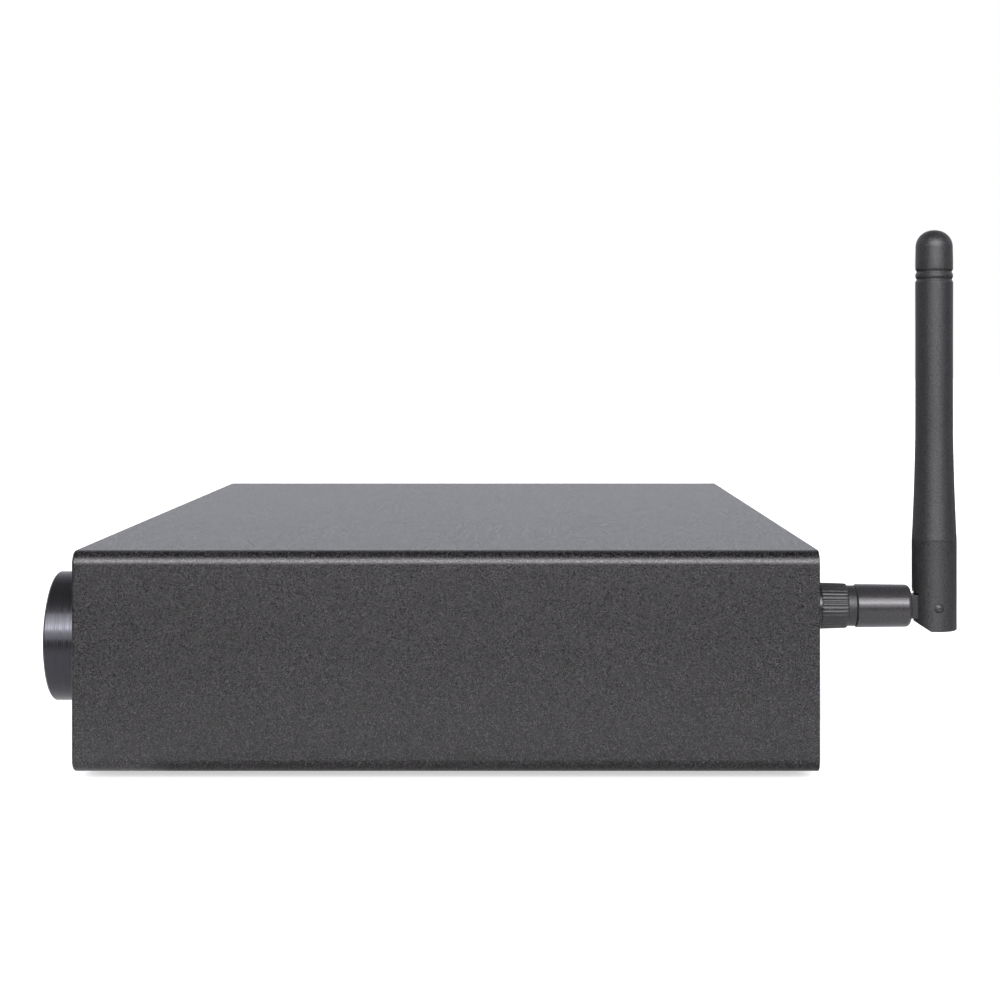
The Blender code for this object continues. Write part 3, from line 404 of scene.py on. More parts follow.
# %% [markdown]
# ## The volume knob
# The knob is turned from bar: a plain cylinder with a fine chamfer, a faced front with a small drilled dimple
# that shows where it points, and a counterbore behind that hides the encoder's nut. A grub screw holds it.

# %% knob and grub screw
knob_low, knob_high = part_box("volume_knob")
KNOB_RADIUS, KNOB_FACE, KNOB_BACK = (knob_high.x - knob_low.x) / 2, knob_low.y, knob_high.y
KNOB_AT = (float(middle("volume_knob")[0]), 0, MIDDLE)
CHAMFER, DIMPLE, DIMPLE_DEPTH, DIMPLE_OUT = 0.4 * MM, 1.1 * MM, 0.45 * MM, 10.2 * MM


def knob_loops():
    """The turned profile from the bore's end over the back, side and front. On the front face a point at distance d
    from the dimple's middle sinks by depth × sqrt(1 - (d / dimple radius)²) where d is within the dimple."""
    bore_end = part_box("encoder_shaft")[0].y - 0.3 * MM
    outside = fillet([
        (0, bore_end, 0), (3.05 * MM, bore_end, 0.05 * MM), (3.05 * MM, KNOB_BACK - 4.2 * MM, 0.1 * MM),
        (8 * MM, KNOB_BACK - 4.2 * MM, 0.2 * MM), (8 * MM, KNOB_BACK, 0.2 * MM), (KNOB_RADIUS, KNOB_BACK, 0.3 * MM),
        (KNOB_RADIUS, KNOB_FACE + CHAMFER, 0.12 * MM), (KNOB_RADIUS - CHAMFER, KNOB_FACE, 0.12 * MM),
        (KNOB_RADIUS - 0.8 * MM, KNOB_FACE, 0),
    ])
    face = np.linspace(KNOB_RADIUS - 0.9 * MM, 0, 60)
    profile = np.concatenate([outside, np.stack([face, np.full(60, KNOB_FACE)], 1)])
    loops = turned(profile, "Y", KNOB_AT, steps=192)
    away = np.hypot(loops[..., 0] - KNOB_AT[0], loops[..., 2] - KNOB_AT[2] - DIMPLE_OUT) / DIMPLE
    on_face = loops[..., 1] <= KNOB_FACE + 1e-6
    loops[..., 1] += on_face * DIMPLE_DEPTH * np.sqrt(np.clip(1 - away**2, 0, 1))
    return loops


loft("knob", knob_loops(), "volume", "knob_black", ["volume_knob"])
screw_low, screw_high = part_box("knob_set_screw")
screw_at = middle("knob_set_screw")
HEX = 0.75 * MM
grub = turned(fillet([
    (0, screw_high.z, 0), (1.45 * MM, screw_high.z, 0.1 * MM), (1.45 * MM, screw_low.z, 0.15 * MM),
    (HEX, screw_low.z, 0.02 * MM), (HEX, screw_low.z + 1 * MM, 0.02 * MM), (0, screw_low.z + 1 * MM, 0),
]), "Z", (screw_at[0], screw_at[1], 0), steps=48)
loft("grub_screw", grub, "volume", "black_steel", ["knob_set_screw"])
print("knob radius", round(KNOB_RADIUS / MM, 2), "mm")

# %% [markdown]
# ## The two push buttons
# Each cap is a turned piece with a dished face that a fingertip finds in the dark. A collar behind the panel keeps
# it in, and its stem reaches the switch.

# %% buttons
DISH = 0.35 * MM


def button_loops(node):
    """A profile whose face sinks towards the middle by dish × (1 - (r / face radius)²)."""
    low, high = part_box(node)
    x, y, z = middle(node)
    cap, collar, stem = 4.5 * MM, 6 * MM, 2 * MM
    collar_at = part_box("front_carrier")[1].y + 0.3 * MM
    back = fillet([
        (0, high.y, 0), (stem, high.y, 0.2 * MM), (stem, collar_at + 1 * MM, 0.1 * MM),
        (collar, collar_at + 1 * MM, 0.15 * MM), (collar, collar_at, 0.15 * MM), (cap, collar_at, 0.1 * MM),
        (cap, low.y, 0.35 * MM), (cap - 0.8 * MM, low.y, 0),
    ])
    face = np.linspace(cap - 0.8 * MM, 0, 16)
    dish = low.y + DISH * (1 - (face / face[0]) ** 2)
    return turned(np.concatenate([back, np.stack([face, dish], 1)]), "Y", (x, 0, z), steps=72)


for name in ("standby", "source"):
    loft(f"{name}_cap", button_loops(f"{name}_button"), name, "knob_black", [f"{name}_button"])
print("buttons ready")

# %% [markdown]
# ## Feet
# Four rubber discs with a softly rounded rim. Each is hollowed in the middle, where its screw sits.

# %% feet
for end in ("front", "rear"):
    for side in ("left", "right"):
        node = f"foot_{end}_{side}"
        low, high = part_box(node)
        radius = (high.x - low.x) / 2
        profile = fillet([
            (0, high.z, 0), (radius, high.z, 0.2 * MM), (radius - 0.35 * MM, low.z, 0.6 * MM),
            (2.9 * MM, low.z, 0.25 * MM), (2.6 * MM, low.z + 0.9 * MM, 0.15 * MM), (0, low.z + 0.9 * MM, 0),
        ])
        disc = turned(profile, "Z", (*middle(node)[:2], 0), steps=64)
        loft(f"rubber_{end}_{side}", disc, "case", "rubber", [node])
print("feet ready")

# %% [markdown]
# ## The rear sockets
# A phono socket is a gilt tube round a coloured insert with a hole for the plug's pin. Both are turned shapes, and
# a small ledge inside the tube's mouth catches the light as the real rolled lip does.

# %% phono sockets
def phono(tag, colour):
    """The gilt tube of one socket and the insert in it."""
    shell_low, shell_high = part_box(f"{tag}_shell")
    x, _, z = middle(f"{tag}_shell")
    outer = (shell_high.x - shell_low.x) / 2
    inner = outer - 0.55 * MM
    shell = fillet([
        (inner, shell_high.y, 0.12 * MM), (outer - 0.25 * MM, shell_high.y, 0.1 * MM),
        (outer, shell_high.y - 0.45 * MM, 0.2 * MM), (outer, shell_low.y, 0.1 * MM), (inner, shell_low.y, 0.1 * MM),
    ], closed=True)
    loft(f"{tag}_tube", turned(shell, "Y", (x, 0, z), steps=72), "case", "gold", [f"{tag}_shell"], ring=True)
    low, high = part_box(f"{tag}_insert")
    hole, rim = 1.7 * MM, inner - 0.15 * MM
    insert = fillet([
        (0, low.y, 0), (rim, low.y, 0.1 * MM), (rim, high.y, 0.25 * MM), (hole + 0.5 * MM, high.y, 0.1 * MM),
        (hole, high.y - 0.5 * MM, 0.15 * MM), (hole, high.y - 8 * MM, 0.1 * MM), (0, high.y - 8 * MM, 0),
    ])
    loft(f"{tag}_core", turned(insert, "Y", (x, 0, z), steps=64), "case", colour, [f"{tag}_insert"])


for tag, colour in {
    "line_out_right": "red_plastic", "line_out_left": "white_plastic", "coax_in": "black_plastic",
}.items():
    phono(tag, colour)
print("phono sockets ready")

# %% [markdown]
# ## The antenna's connector
# The threaded jack comes through the rear panel and is held by a washer and a hex nut. The thread is a real
# helix in shape only: its crests are rings, since no one sees it turn.

# %% jack, washer and nut
jack_low, jack_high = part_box("antenna_jack")
jack_x, _, jack_z = middle("antenna_jack")
JACK_AT = (float(jack_x), 0, float(jack_z))
THREAD, THREAD_PITCH, THREAD_DEPTH = 3.15 * MM, 0.705 * MM, 0.28 * MM


def jack_loops():
    """The jack's profile. Along the thread the radius is the crest less depth × |2 × fraction of a turn - 1|."""
    panel_face, panel_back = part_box("rear_panel")[1].y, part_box("rear_panel")[0].y
    begin, end = panel_face, jack_high.y - 0.3 * MM
    along = np.linspace(end, begin, 160)
    crest = THREAD - THREAD_DEPTH * np.abs(2 * np.mod((along - begin) / THREAD_PITCH, 1) - 1)
    nose = fillet([
        (0, jack_high.y - 4.3 * MM, 0), (1.1 * MM, jack_high.y - 4.3 * MM, 0.05 * MM),
        (1.1 * MM, jack_high.y, 0.15 * MM), (THREAD - 0.35 * MM, jack_high.y, 0.1 * MM),
        (THREAD - 0.1 * MM, jack_high.y - 0.28 * MM, 0),
    ])
    tail = fillet([
        (THREAD, panel_face, 0), (THREAD, panel_back - 0.3 * MM, 0.05 * MM),
        (4.6 * MM, panel_back - 0.3 * MM, 0.15 * MM), (4.6 * MM, panel_back - 2.8 * MM, 0.15 * MM),
        (2.2 * MM, panel_back - 2.8 * MM, 0.1 * MM), (2.2 * MM, jack_low.y, 0.2 * MM), (0, jack_low.y, 0),
    ])
    return turned(np.concatenate([nose, np.stack([crest, along], 1), tail]), "Y", JACK_AT, steps=56)


NUT_BORE, NUT_FIT = 3.4 * MM, 0.995  # the nut's corners stay just inside its solid
CONE_START, CONE_SLOPE, CONE_DEPTH, CONE_ROWS = 0.97, 1.6, 0.5 * MM, 5


def hex_nut_loops(low, high, across_corners):
    """A hexagon whose corners are turned down. On the outside, radius = min(cone, hexagon): the hexagon's radius is
    apothem / cos(angle from the nearest flat's middle), and the cone widens inwards from each face."""
    angle = np.linspace(0, 2 * math.pi, 96, endpoint=False)
    apothem = across_corners * math.cos(math.pi / 6)
    hexagon = apothem / np.cos(np.mod(angle + math.pi / 6, math.pi / 3) - math.pi / 6)
    depth = np.linspace(0, CONE_DEPTH, CONE_ROWS)
    outside = np.minimum(hexagon, apothem * CONE_START + depth[:, None] * CONE_SLOPE)
    edge = 0.25 * MM
    bore = np.repeat([[NUT_BORE + edge], [NUT_BORE], [NUT_BORE], [NUT_BORE + edge]], 96, axis=1)
    radius = np.concatenate([outside, outside[::-1], bore])
    along = np.concatenate([high - depth, low + depth[::-1], [low, low + edge, high - edge, high]])
    return rippled(radius, along, JACK_AT, np.sin(angle), np.cos(angle))


loft("threaded_jack", jack_loops(), "case", "gold", ["antenna_jack"])
nut_low, nut_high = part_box("jack_nut")
nut = hex_nut_loops(nut_low.y, nut_high.y, (nut_high.z - nut_low.z) / 2 * NUT_FIT)
loft("hex_nut", nut, "case", "gold", ["jack_nut"], ring=True, sharp=20)
ring_low, ring_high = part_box("jack_washer")
washer = fillet([
    (NUT_BORE, ring_high.y, 0.08 * MM), (5.15 * MM, ring_high.y, 0.2 * MM), (5.15 * MM, ring_low.y, 0.05 * MM),
    (NUT_BORE, ring_low.y, 0.05 * MM),
], arc=4, closed=True)
loft("lock_washer", turned(washer, "Y", JACK_AT, steps=64), "case", "steel", ["jack_washer"], ring=True)
print("jack ready")

# %% [markdown]
# ## The antenna's grip
# The plug is screwed on by a knurled plastic grip: thirty-six ridges, drawn to a slight taper so that it leaves its
# mould, a broken edge at the far end and a plain ring behind. The ring reaches almost to the barrel, so that only a
# fine line is left between them. A darker metal flange shows in front of the grip.

# %% coupling flange and knurled grip
grip_low, grip_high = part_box("antenna_grip")
GRIP_WIDE, GRIP_NARROW, GRIP_RING = 5.11 * MM, 4.93 * MM, 4.49 * MM
KNURL_END, RING_END = grip_high.y - 1.5 * MM, grip_high.y + 0.27 * MM
RIDGES, RIDGE_DEPTH = 36, 0.12 * MM


def grip_loops():
    """Ridges run along the grip: radius = taper - depth × (1 - |cos(18 × angle)|^1.4) × end fade."""
    angle = np.linspace(0, 2 * math.pi, RIDGES * 12, endpoint=False)
    valley = 1 - np.abs(np.cos(angle * RIDGES / 2)) ** 1.4
    share = np.array([0, 0.01, 0.03, 0.1, 0.3, 0.5, 0.7, 0.9, 0.955, 0.98, 1.0])
    fade = np.array([0.6, 0.9, 1, 1, 1, 1, 1, 1, 1, 0.8, 0.3])
    edge = np.array([0.06, 0.015, 0, 0, 0, 0, 0, 0, 0.02, 0.1, 0.28]) * MM
    taper = GRIP_WIDE + (GRIP_NARROW - GRIP_WIDE) * share - edge
    knurled = taper[:, None] - RIDGE_DEPTH * fade[:, None] * valley
    places = grip_low.y + (KNURL_END - grip_low.y) * share
    ring = fillet([
        (GRIP_RING, KNURL_END, 0), (GRIP_RING, RING_END, 0.06 * MM), (2.35 * MM, RING_END, 0.1 * MM),
        (2.35 * MM, KNURL_END - 0.1 * MM, 0.05 * MM), (4.15 * MM, KNURL_END - 0.1 * MM, 0.05 * MM),
        (4.15 * MM, grip_low.y, 0.05 * MM), (4.5 * MM, grip_low.y, 0),
    ])
    radius = np.concatenate([knurled, np.repeat(ring[:, :1], angle.size, axis=1)])
    along = np.concatenate([places, ring[:, 1]])
    return rippled(radius, along, JACK_AT, np.cos(angle), np.sin(angle))


loft("knurled_grip", grip_loops(), "grip", "antenna_plastic", ["antenna_grip"], ring=True, sharp=60)
flange_low, flange_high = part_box("antenna_coupling")
FLANGE, FLANGE_END = (flange_high.x - flange_low.x) / 2, grip_low.y - 0.03 * MM
coupling = fillet([
    (2.08 * MM, flange_high.y, 0.05 * MM), (4 * MM, flange_high.y, 0.1 * MM), (4 * MM, FLANGE_END, 0.03 * MM),
    (FLANGE, FLANGE_END, 0.05 * MM), (FLANGE, flange_low.y, 0.3 * MM), (3.24 * MM, flange_low.y, 0.15 * MM),
    (3.24 * MM, KNURL_END - 1.2 * MM, 0.05 * MM), (2.08 * MM, KNURL_END - 1.2 * MM, 0.05 * MM),
], closed=True)
loft("coupling_ring", turned(coupling, "Y", JACK_AT, steps=96), "grip", "black_steel", ["antenna_coupling"], ring=True)
print("grip ready")

# %% [markdown]
# ## The whip
# The whip's cover is one long moulded sleeve: a rounded tip, two narrow grooves below it, a straight stem and a foot
# that flares out and laps just over the fork's rounded edge. Its profile is a table of radii and heights in
# millimetres, smoothed by rounding every corner.

# %% whip cover and hinge pin
whip_low, whip_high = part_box("antenna_whip")
PIVOT = tuple(float(c) for c in middle("antenna_hinge_pin"))
SEAT = 14.76  # the height in the table that sits on the fork


def whip_profile():
    """(radius, height above the pivot), from the tip down the outside and up the hollow inside.
    The tip is an ellipse: radius = wide × sin t and drop = tall × (1 - cos t), t from 0 to a quarter turn."""
    tip, wide, tall = whip_high.z - PIVOT[2], 4.06 * MM, 3.8 * MM
    t = np.linspace(0, math.pi / 2, 16)
    dome = np.stack([wide * np.sin(t) ** 0.93, tip - tall * (1 - np.cos(t))], 1)
    stem = fillet(np.array([
        (4.06, 79.4, 0), (4.12, 76.5, 2), (4.12, 74.75, 0.25), (3.79, 74.15, 0.3), (4.1, 73.55, 0.25),
        (4.1, 73.0, 0.25), (3.81, 72.45, 0.3), (4.14, 71.85, 0.25), (4.11, 60, 40), (4.13, 38, 40), (4.21, 34, 12),
        (4.32, 29.5, 12), (4.46, 25, 12), (4.64, 20.5, 12), (4.81, 16.5, 6), (4.9, 15.0, 0.1), (4.9, 14.62, 0.02),
        (4.7, 14.62, 0.02), (4.6, SEAT, 0.02), (3.45, SEAT, 0.1), (3.45, 77.3, 0.5), (0, 77.3, 0),
    ]) * MM, arc=6)
    stem[:, 1] += (whip_low.z - PIVOT[2]) - SEAT * MM
    return np.concatenate([dome, stem])


loft("whip_cover", turned(whip_profile(), "Z", PIVOT, steps=96), "mast", "antenna_plastic", ["antenna_whip"], sharp=50)
pin_low, pin_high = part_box("antenna_hinge_pin")
PIN_REACH, PIN_RADIUS, PIN_DOME = (pin_high.x - pin_low.x) / 2, 1.0 * MM, 0.38 * MM


def pin_profile():
    """A rod with domed ends: the dome drops by height × (r / radius)² from its middle."""
    out = np.linspace(0, PIN_RADIUS, 9)
    dome = np.stack([out, PIN_REACH - PIN_DOME * (out / PIN_RADIUS) ** 2], 1)
    return np.concatenate([dome, dome[::-1] * (1, -1)])


loft("hinge_pin", turned(pin_profile(), "X", PIVOT, steps=40), "mast", "antenna_plastic", ["antenna_hinge_pin"])
print("whip ready")

# %% [markdown]
# ## Rear screws
# Countersunk screws with a hex socket. The socket is the same loft as the head: its inner loops take the radius of
# a hexagon instead of a circle.

# %% countersunk screws
def screw_loops(node):
    """Rows from the shank's end to the head, then into the socket, whose radius is apothem / cos(angle from a flat)."""
    low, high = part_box(node)
    head, shank, flat = (high.x - low.x) / 2, 1.2 * MM, 0.97 * MM
    angle = np.linspace(0, 2 * math.pi, 72, endpoint=False)
    outside = fillet([
        (0, low.y, 0), (shank, low.y, 0.3 * MM), (shank, high.y - 1.4 * MM, 0.1 * MM),
        (head, high.y - 0.2 * MM, 0.05 * MM), (head, high.y, 0.06 * MM), (1.5 * MM, high.y, 0),
    ], arc=4)
    circle = np.repeat(outside[:, :1], 72, axis=1)
    hexagon = flat / np.cos(np.mod(angle, math.pi / 3) - math.pi / 6)
    socket = np.stack([hexagon + 0.08 * MM, hexagon, hexagon * 0.98, hexagon * 0])
    deep = np.array([high.y, high.y - 0.08 * MM, high.y - 1.1 * MM, high.y - 1.3 * MM])
    radius = np.concatenate([circle, socket])
    along = np.concatenate([outside[:, 1], deep])
    return rippled(radius, along, middle(node), np.cos(angle), np.sin(angle))


for number in range(1, 5):
    node = f"rear_screw_{number}"
    loft(f"panel_screw_{number}", screw_loops(node), "case", "black_steel", [node], sharp=25)
print("screws ready")

# %% [markdown]
# ## Pieces with cut shapes
# Panels, sockets, the switch and the antenna's hinge are blocks with holes and slots, which a loft can't give. Their
# solids are already right, so each is copied, its coplanar triangles are merged and its edges get a fine bevel,
# because every real moulded or milled edge is a little round and catches a line of light.

# %% bevelled copies
def bevelled(node, edge, slot, body, angle=32, segments=2):
    """A merged copy of a solid, with every edge sharper than the angle rounded over."""
    mesh = frame["nodes"][node].data.copy()
    mesh.name = node + "_shape"
    mesh.materials.clear()
    tidy = bmesh.new()
    tidy.from_mesh(mesh)
    bmesh.ops.remove_doubles(tidy, verts=tidy.verts, dist=1e-6)
    bmesh.ops.dissolve_limit(tidy, angle_limit=math.radians(0.5), verts=tidy.verts, edges=tidy.edges)
    tidy.to_mesh(mesh)
    tidy.free()
    mesh.shade_smooth()
    mesh.set_sharp_from_angle(angle=math.radians(angle))
    piece = bpy.data.objects.new(node + "_shape", mesh)
    bpy.context.scene.collection.objects.link(piece)
    round_over = piece.modifiers.new("edges", "BEVEL")
    round_over.width = edge
    round_over.segments = segments
    round_over.limit_method = "ANGLE"
    round_over.angle_limit = math.radians(angle)
    round_over.harden_normals = False
    even = piece.modifiers.new("even shading", "WEIGHTED_NORMAL")
    even.keep_sharp = False
    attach(piece, body)
    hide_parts(node)
    PIECES[piece.name] = slot
    return piece


BODY_OF = {node: body for body, nodes in frame["record"]["behaviour"]["bodies"].items() for node in nodes}
SLOT_OF = {part["node"]: part["material_slot"] for part in frame["record"]["subparts"]}
EDGES = {  # in millimetres
    "front_panel": 0.15, "rear_panel": 0.1, "display_window": 0.15, "optical_housing": 0.12,
    "optical_shutter": 0.08, "dc_jack_body": 0.12, "power_switch_frame": 0.15, "power_rocker": 0.2,
    "line_out_housing": 0.15, "coax_in_housing": 0.15, "antenna_barrel": 0.1, "antenna_fork": 0.18,
    "encoder_body": 0.15, "encoder_nut": 0.2, "heat_sink": 0.1,
}
for node, edge in EDGES.items():
    bevelled(node, edge * MM, SLOT_OF[node], BODY_OF[node])
print(len(EDGES), "bevelled copies")

# %% [markdown]
# ## Shared effects
# Each effect is a node group, built once and placed in many materials with its own sizes. All of them read Object
# coordinates, so a grain keeps its real size in metres on every piece. The groups put out shades, roughness and
# heights only; the shader itself stays in each material.

# %% node groups
def new_group(name, inputs, outputs):
    """An empty node group with its sockets, then what goes in and what comes out. A kind is a word such as Float."""
    tree = bpy.data.node_groups.new(name, "ShaderNodeTree")
    for label, kind, value in inputs:
        socket = tree.interface.new_socket(name=label, in_out="INPUT", socket_type="NodeSocket" + kind)
        if value is not None:
            socket.default_value = value
    for label, kind in outputs:
        tree.interface.new_socket(name=label, in_out="OUTPUT", socket_type="NodeSocket" + kind)
    return tree, add(tree, "NodeGroupInput").outputs, add(tree, "NodeGroupOutput").inputs


def build_coat_grain():
    """Powder coat: a fine pebble, and small cells that each shine a little differently.
    Shade = dark to light by the pebble, then towards the Fleck colour by cell value to the fifth power."""
    tree, given, out = new_group(
        "coat_grain",
        [("Vector", "Vector", None), ("Pebbles per metre", "Float", 2600.0), ("Dark", "Color", (0.03, 0.03, 0.03, 1)),
         ("Light", "Color", (0.06, 0.06, 0.06, 1)), ("Fleck", "Color", (0.2, 0.2, 0.2, 1))],
        [("Color", "Color"), ("Roughness", "Float"), ("Height", "Float")],
    )
    where = {"Vector": given["Vector"], "Scale": given["Pebbles per metre"]}
    noise = add(tree, "ShaderNodeTexNoise", {**where, "Detail": 1.0, "Roughness": 0.5})
    pebble = rescale(tree, noise.outputs["Fac"], 0.36, 0.64)
    shade = blend(tree, pebble, given["Dark"], given["Light"])
    cells = add(tree, "ShaderNodeTexVoronoi", where)
    cell = add(tree, "ShaderNodeSeparateColor", {0: cells.outputs["Color"]}).outputs
    flecked = blend(tree, compute(tree, "POWER", cell[0], 5.0), shade, given["Fleck"])
    tree.links.new(flecked, out["Color"])
    tree.links.new(rescale(tree, cell[1], to_low=0.48, to_high=0.14), out["Roughness"])
    tree.links.new(pebble, out["Height"])
    return tree


def build_tool_lines():
    """Lines left by a tool: one-dimensional noise along whatever number is given, coarse and fine together.
    Depth runs from 0 to 1."""
    tree, given, out = new_group(
        "tool_lines",
        [("Along", "Float", 0.0), ("Lines per metre", "Float", 6000.0)],
        [("Depth", "Float")],
    )
    place = compute(tree, "MULTIPLY", given["Along"], given["Lines per metre"])
    lines = add(tree, "ShaderNodeTexNoise", {"W": place, "Scale": 1.0, "Detail": 3.0, "Roughness": 0.75},
                noise_dimensions="1D")
    tree.links.new(rescale(tree, lines.outputs["Fac"], 0.36, 0.64), out["Depth"])
    return tree


def build_moulded_skin():
    """Moulded plastic: a spark-eroded texture and slow patches where hands have polished it.
    Roughness runs from Smooth to Rough with both, and Height is the texture alone."""
    tree, given, out = new_group(
        "moulded_skin",
        [("Vector", "Vector", None), ("Grains per metre", "Float", 3500.0), ("Smooth", "Float", 0.35),
         ("Rough", "Float", 0.5)],
        [("Roughness", "Float"), ("Height", "Float"), ("Patch", "Float")],
    )
    texture = add(tree, "ShaderNodeTexNoise",
                  {"Vector": given["Vector"], "Scale": given["Grains per metre"], "Detail": 2.0})
    patches = add(tree, "ShaderNodeTexNoise", {"Vector": given["Vector"], "Scale": 60.0, "Detail": 3.0})
    height = rescale(tree, texture.outputs["Fac"], 0.3, 0.7)
    patch = rescale(tree, patches.outputs["Fac"], 0.35, 0.65)
    both = between(tree, 0.5, height, patch)
    tree.links.new(between(tree, both, given["Smooth"], given["Rough"]), out["Roughness"])
    tree.links.new(height, out["Height"])
    tree.links.new(patch, out["Patch"])
    return tree


COAT_GRAIN, TOOL_LINES, MOULDED_SKIN = build_coat_grain(), build_tool_lines(), build_moulded_skin()
print("groups:", [g.name for g in bpy.data.node_groups])

# %% [markdown]
# ## Finishes
# A finish is made for each material slot of the record: a Principled shader whose plain numbers are set on its own
# sockets, with its colour, roughness and bump driven by the effects above.

# %% finish helpers
def new_finish(name, **constants):
    """A material with a Principled shader. Returns the material, its tree, the shader and Object coordinates."""
    material = bpy.data.materials.new(name)
    material.use_nodes = True
    tree = material.node_tree
    shader = tree.nodes["Principled BSDF"]
    for label, value in constants.items():
        shader.inputs[label.replace("_", " ")].default_value = value
    return material, tree, shader, add(tree, "ShaderNodeTexCoord").outputs["Object"]


def place_group(tree, group, sockets):
    """A node group placed in a material. Returns its outputs."""
    return add(tree, "ShaderNodeGroup", sockets, node_tree=group).outputs


def drive(tree, shader, colour, roughness, height=None, distance=0.0, strength=0.0):
    """Links a colour, a roughness and, where a height is given, a bump to the shader."""
    tree.links.new(colour, shader.inputs["Base Color"])
    tree.links.new(roughness, shader.inputs["Roughness"])
    if height is not None:
        made = add(tree, "ShaderNodeBump", {"Height": height, "Distance": distance, "Strength": strength})
        tree.links.new(made.outputs["Normal"], shader.inputs["Normal"])


FINISHES = {}

# %% [markdown]
# ### Metal finishes
# The case wears a fine-grained charcoal powder coat. The knob, buttons and panels are black anodised over the marks
# of the lathe or the brush. Plated and bare metals take their colour in the reflection, so they are fully metallic.

# %% coat, anodising and plating
def finish_case():
    """Powder coat on the case."""
    material, tree, shader, here = new_finish("charcoal_powder_coat", Metallic=0.0, IOR=1.5)
    grain = place_group(tree, COAT_GRAIN, {
        "Vector": here, "Pebbles per metre": 5800.0, "Dark": (0.0, 0.0, 0.0, 1), "Light": (0.004, 0.0037, 0.0038, 1),
        "Fleck": (0.06, 0.0565, 0.058, 1),
    })
    drive(tree, shader, grain["Color"], grain["Roughness"], grain["Height"], 0.000016, 0.7)
    return material


TURNED_BLACK = (0.012, 0.012, 0.013)


def finish_turned(name, centre, low, high, lines=4200.0, depth=0.000012):
    """Marks that run round an axis along Y: along = place on the axis + distance from it, so that sides and faces
    both get rings. Where the lines stand high, the surface is lighter and smoother."""
    material, tree, shader, here = new_finish(name, Metallic=0.0, IOR=1.52, Specular_Tint=(0.87, 0.9, 1.0, 1))
    moved = add(tree, "ShaderNodeMapping", {"Vector": here, "Location": tuple(-c for c in centre)})
    split = add(tree, "ShaderNodeSeparateXYZ", {0: moved.outputs[0]}).outputs
    flat = add(tree, "ShaderNodeCombineXYZ", {0: split["X"], 1: split["Z"]})
    away = add(tree, "ShaderNodeVectorMath", {0: flat.outputs[0]}, operation="LENGTH").outputs["Value"]
    along = compute(tree, "ADD", split["Y"], away)
    marks = place_group(tree, TOOL_LINES, {"Along": along, "Lines per metre": lines})["Depth"]
    colour = blend(tree, marks, [c * 0.8 for c in TURNED_BLACK], [c * 1.25 for c in TURNED_BLACK])
    drive(tree, shader, colour, rescale(tree, marks, to_low=high, to_high=low), marks, depth, 0.6)
    return material


def finish_brushed(name, dark, light, low, high, metallic, stretch):
    """A brushed sheet: noise on coordinates that are stretched along the brushing."""
    material, tree, shader, here = new_finish(name, Metallic=metallic, IOR=1.5)
    drawn = add(tree, "ShaderNodeMapping", {"Vector": here, "Scale": stretch}).outputs[0]
    streak = add(tree, "ShaderNodeTexNoise", {"Vector": drawn, "Scale": 1.0, "Detail": 4.0, "Roughness": 0.7})
    even = rescale(tree, streak.outputs["Fac"], 0.3, 0.7)
    rough = rescale(tree, even, to_low=high, to_high=low)
    drive(tree, shader, blend(tree, even, dark, light), rough, even, 0.000004, 0.5)
    return material


def finish_plated(name, dark, light, low, high):
    """Plating: a bright metal with slow tarnish and faint scratches."""
    material, tree, shader, here = new_finish(name, Metallic=1.0)
    skin = place_group(tree, MOULDED_SKIN, {"Vector": here, "Grains per metre": 900.0, "Smooth": low, "Rough": high})
    drive(tree, shader, blend(tree, skin["Patch"], dark, light), skin["Roughness"], skin["Height"], 0.000006, 0.4)
    return material


FINISHES["case_grey"] = finish_case()
FINISHES["knob_black"] = finish_turned("black_anodised_turned", KNOB_AT, 0.04, 0.36, 2800.0)
BRUSHED = {  # slot: name, dark, light, low and high roughness, metallic, stretch
    "panel_black": ("black_anodised_brushed", (0.012, 0.012, 0.013), (0.03, 0.03, 0.032), 0.28, 0.42, 0.0,
                    (40, 40, 5000)),
    "black_steel": ("black_nickel", (0.02, 0.02, 0.022), (0.05, 0.05, 0.054), 0.15, 0.28, 0.6, (3000, 60, 3000)),
    "steel": ("plain_steel", (0.5, 0.5, 0.51), (0.68, 0.68, 0.69), 0.22, 0.38, 1.0, (900, 900, 900)),
    "bare_aluminium": ("bare_aluminium", (0.62, 0.63, 0.64), (0.8, 0.8, 0.81), 0.25, 0.42, 1.0, (60, 60, 3000)),
}
for slot, look in BRUSHED.items():
    FINISHES[slot] = finish_brushed(*look)
FINISHES["gold"] = finish_plated("gilt_plate", (0.74, 0.5, 0.2), (0.87, 0.66, 0.33), 0.12, 0.26)
print(len(FINISHES), "metal finishes")

# %% [markdown]
# ### Plastics, rubber and boards
# The antenna is a soft-touch black moulding with a very fine texture, a little lighter than the case. Its barrel is
# handled more and has a smoother, shinier skin. The window is clear smoked acrylic, which is glossy and nearly black.
# The boards carry a faint pattern of copper under green mask.

# %% plastics and boards
def finish_plastic(name, dark, light, smooth, rough, grains=3500.0, depth=0.00001):
    """A moulded skin whose shade follows its texture."""
    material, tree, shader, here = new_finish(name, Metallic=0.0, IOR=1.5)
    skin = place_group(tree, MOULDED_SKIN,
                       {"Vector": here, "Grains per metre": grains, "Smooth": smooth, "Rough": rough})
    drive(tree, shader, blend(tree, skin["Height"], dark, light), skin["Roughness"], skin["Height"], depth, 0.7)
    return material


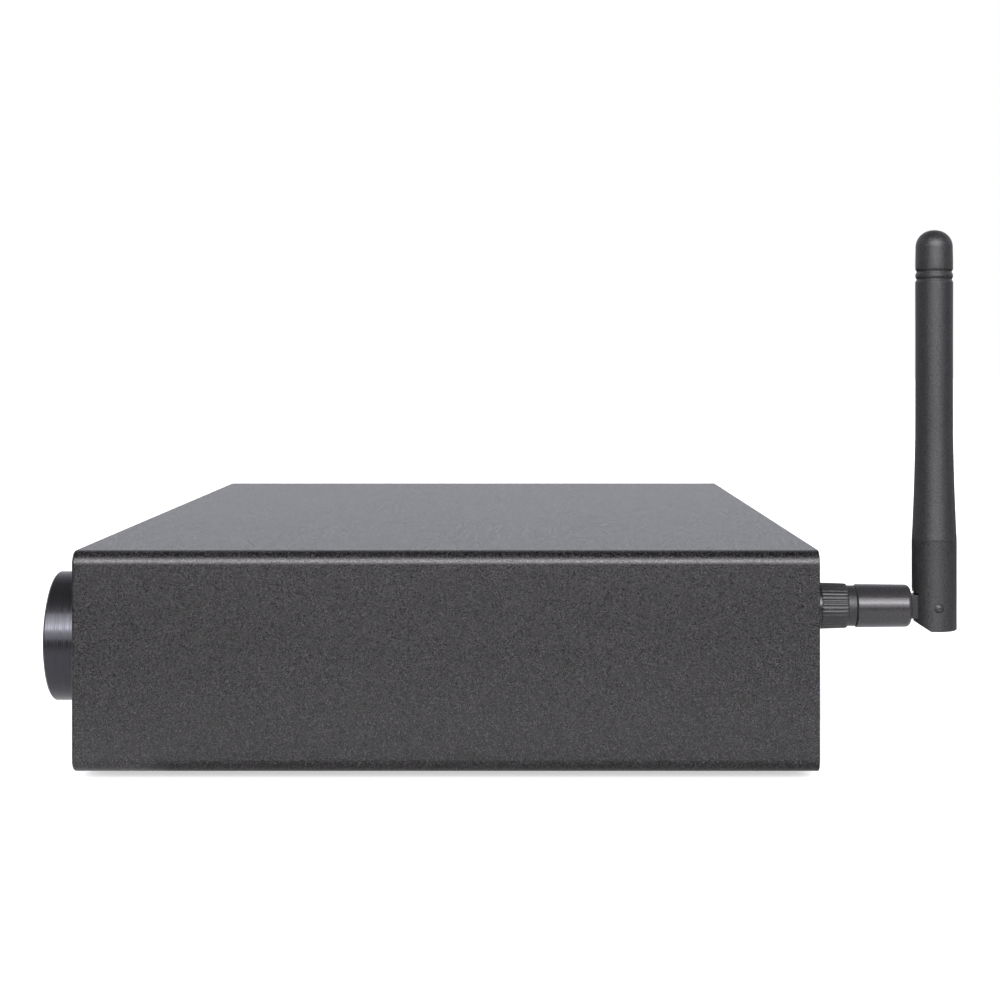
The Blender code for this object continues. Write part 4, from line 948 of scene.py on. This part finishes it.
def finish_window():
    """Smoked acrylic with a slight haze of finger marks."""
    material, tree, shader, here = new_finish(
        "smoked_acrylic", Metallic=0.0, IOR=1.49, Coat_Weight=0.5, Coat_Roughness=0.03)
    haze = add(tree, "ShaderNodeTexNoise", {"Vector": here, "Scale": 35.0, "Detail": 4.0}).outputs["Fac"]
    colour = blend(tree, haze, (0.003, 0.003, 0.0035), (0.006, 0.006, 0.007))
    drive(tree, shader, colour, rescale(tree, haze, 0.4, 0.7, 0.04, 0.11))
    return material


def finish_board():
    """Green solder mask over copper: squared-off cells of copper show as a lighter green."""
    material, tree, shader, here = new_finish("green_board", Metallic=0.0, IOR=1.5)
    tracks = add(tree, "ShaderNodeTexVoronoi", {"Vector": here, "Scale": 260.0},
                 distance="MANHATTAN", feature="DISTANCE_TO_EDGE")
    copper = rescale(tree, tracks.outputs["Distance"], 0.03, 0.06)
    colour = blend(tree, copper, (0.012, 0.075, 0.035), (0.02, 0.13, 0.06))
    drive(tree, shader, colour, rescale(tree, copper, to_low=0.5, to_high=0.32), copper, 0.00003, 0.6)
    return material


PLASTICS = {  # slot: name, dark, light, smooth, rough, then grains per metre and depth where they differ
    "antenna_plastic": ("antenna_moulding", (0.004, 0.004, 0.0042), (0.034, 0.034, 0.0345), 0.36, 0.46),
    "black_plastic": ("black_moulding", (0.014, 0.014, 0.014), (0.024, 0.024, 0.024), 0.34, 0.5),
    "white_plastic": ("white_moulding", (0.78, 0.77, 0.74), (0.86, 0.85, 0.83), 0.3, 0.42),
    "red_plastic": ("red_moulding", (0.5, 0.015, 0.015), (0.62, 0.025, 0.02), 0.3, 0.42),
    "rubber": ("black_rubber", (0.012, 0.012, 0.012), (0.022, 0.022, 0.022), 0.65, 0.85, 2500.0, 0.00003),
    "copper_cable": ("cable_jacket", (0.09, 0.09, 0.09), (0.14, 0.14, 0.14), 0.4, 0.55),
}
for slot, look in PLASTICS.items():
    FINISHES[slot] = finish_plastic(*look)
FINISHES["window_smoke"] = finish_window()
FINISHES["board"] = finish_board()
print(len(FINISHES), "finishes in all")

# %% [markdown]
# ## Dressing the pieces
# Every new piece takes the finish of its slot, and every solid that is still shown has its own slot reassigned.
# Then come the exceptions: the buttons get rings about their own centres rather than the knob's, and the antenna's
# barrel gets its smoother skin.

# %% assign
def dress(piece, finish):
    """Gives a piece one finish all over."""
    if piece.material_slots:
        for holder in piece.material_slots:
            holder.material = finish
    else:
        piece.data.materials.append(finish)


for name, slot in PIECES.items():
    dress(bpy.data.objects[name], FINISHES[slot])
for node, solid in frame["nodes"].items():
    dress(solid, FINISHES[SLOT_OF[node]])
for name in ("standby", "source"):
    centre = tuple(float(c) for c in middle(f"{name}_button") * (1, 0, 1))
    dress(bpy.data.objects[f"{name}_cap"], finish_turned(f"{name}_anodised", centre, 0.2, 0.3))
barrel_skin = finish_plastic("barrel_moulding", (0.018, 0.0175, 0.0185), (0.036, 0.035, 0.037), 0.16, 0.26)
dress(bpy.data.objects["antenna_barrel_shape"], barrel_skin)
print("dressed", len(PIECES), "new pieces")
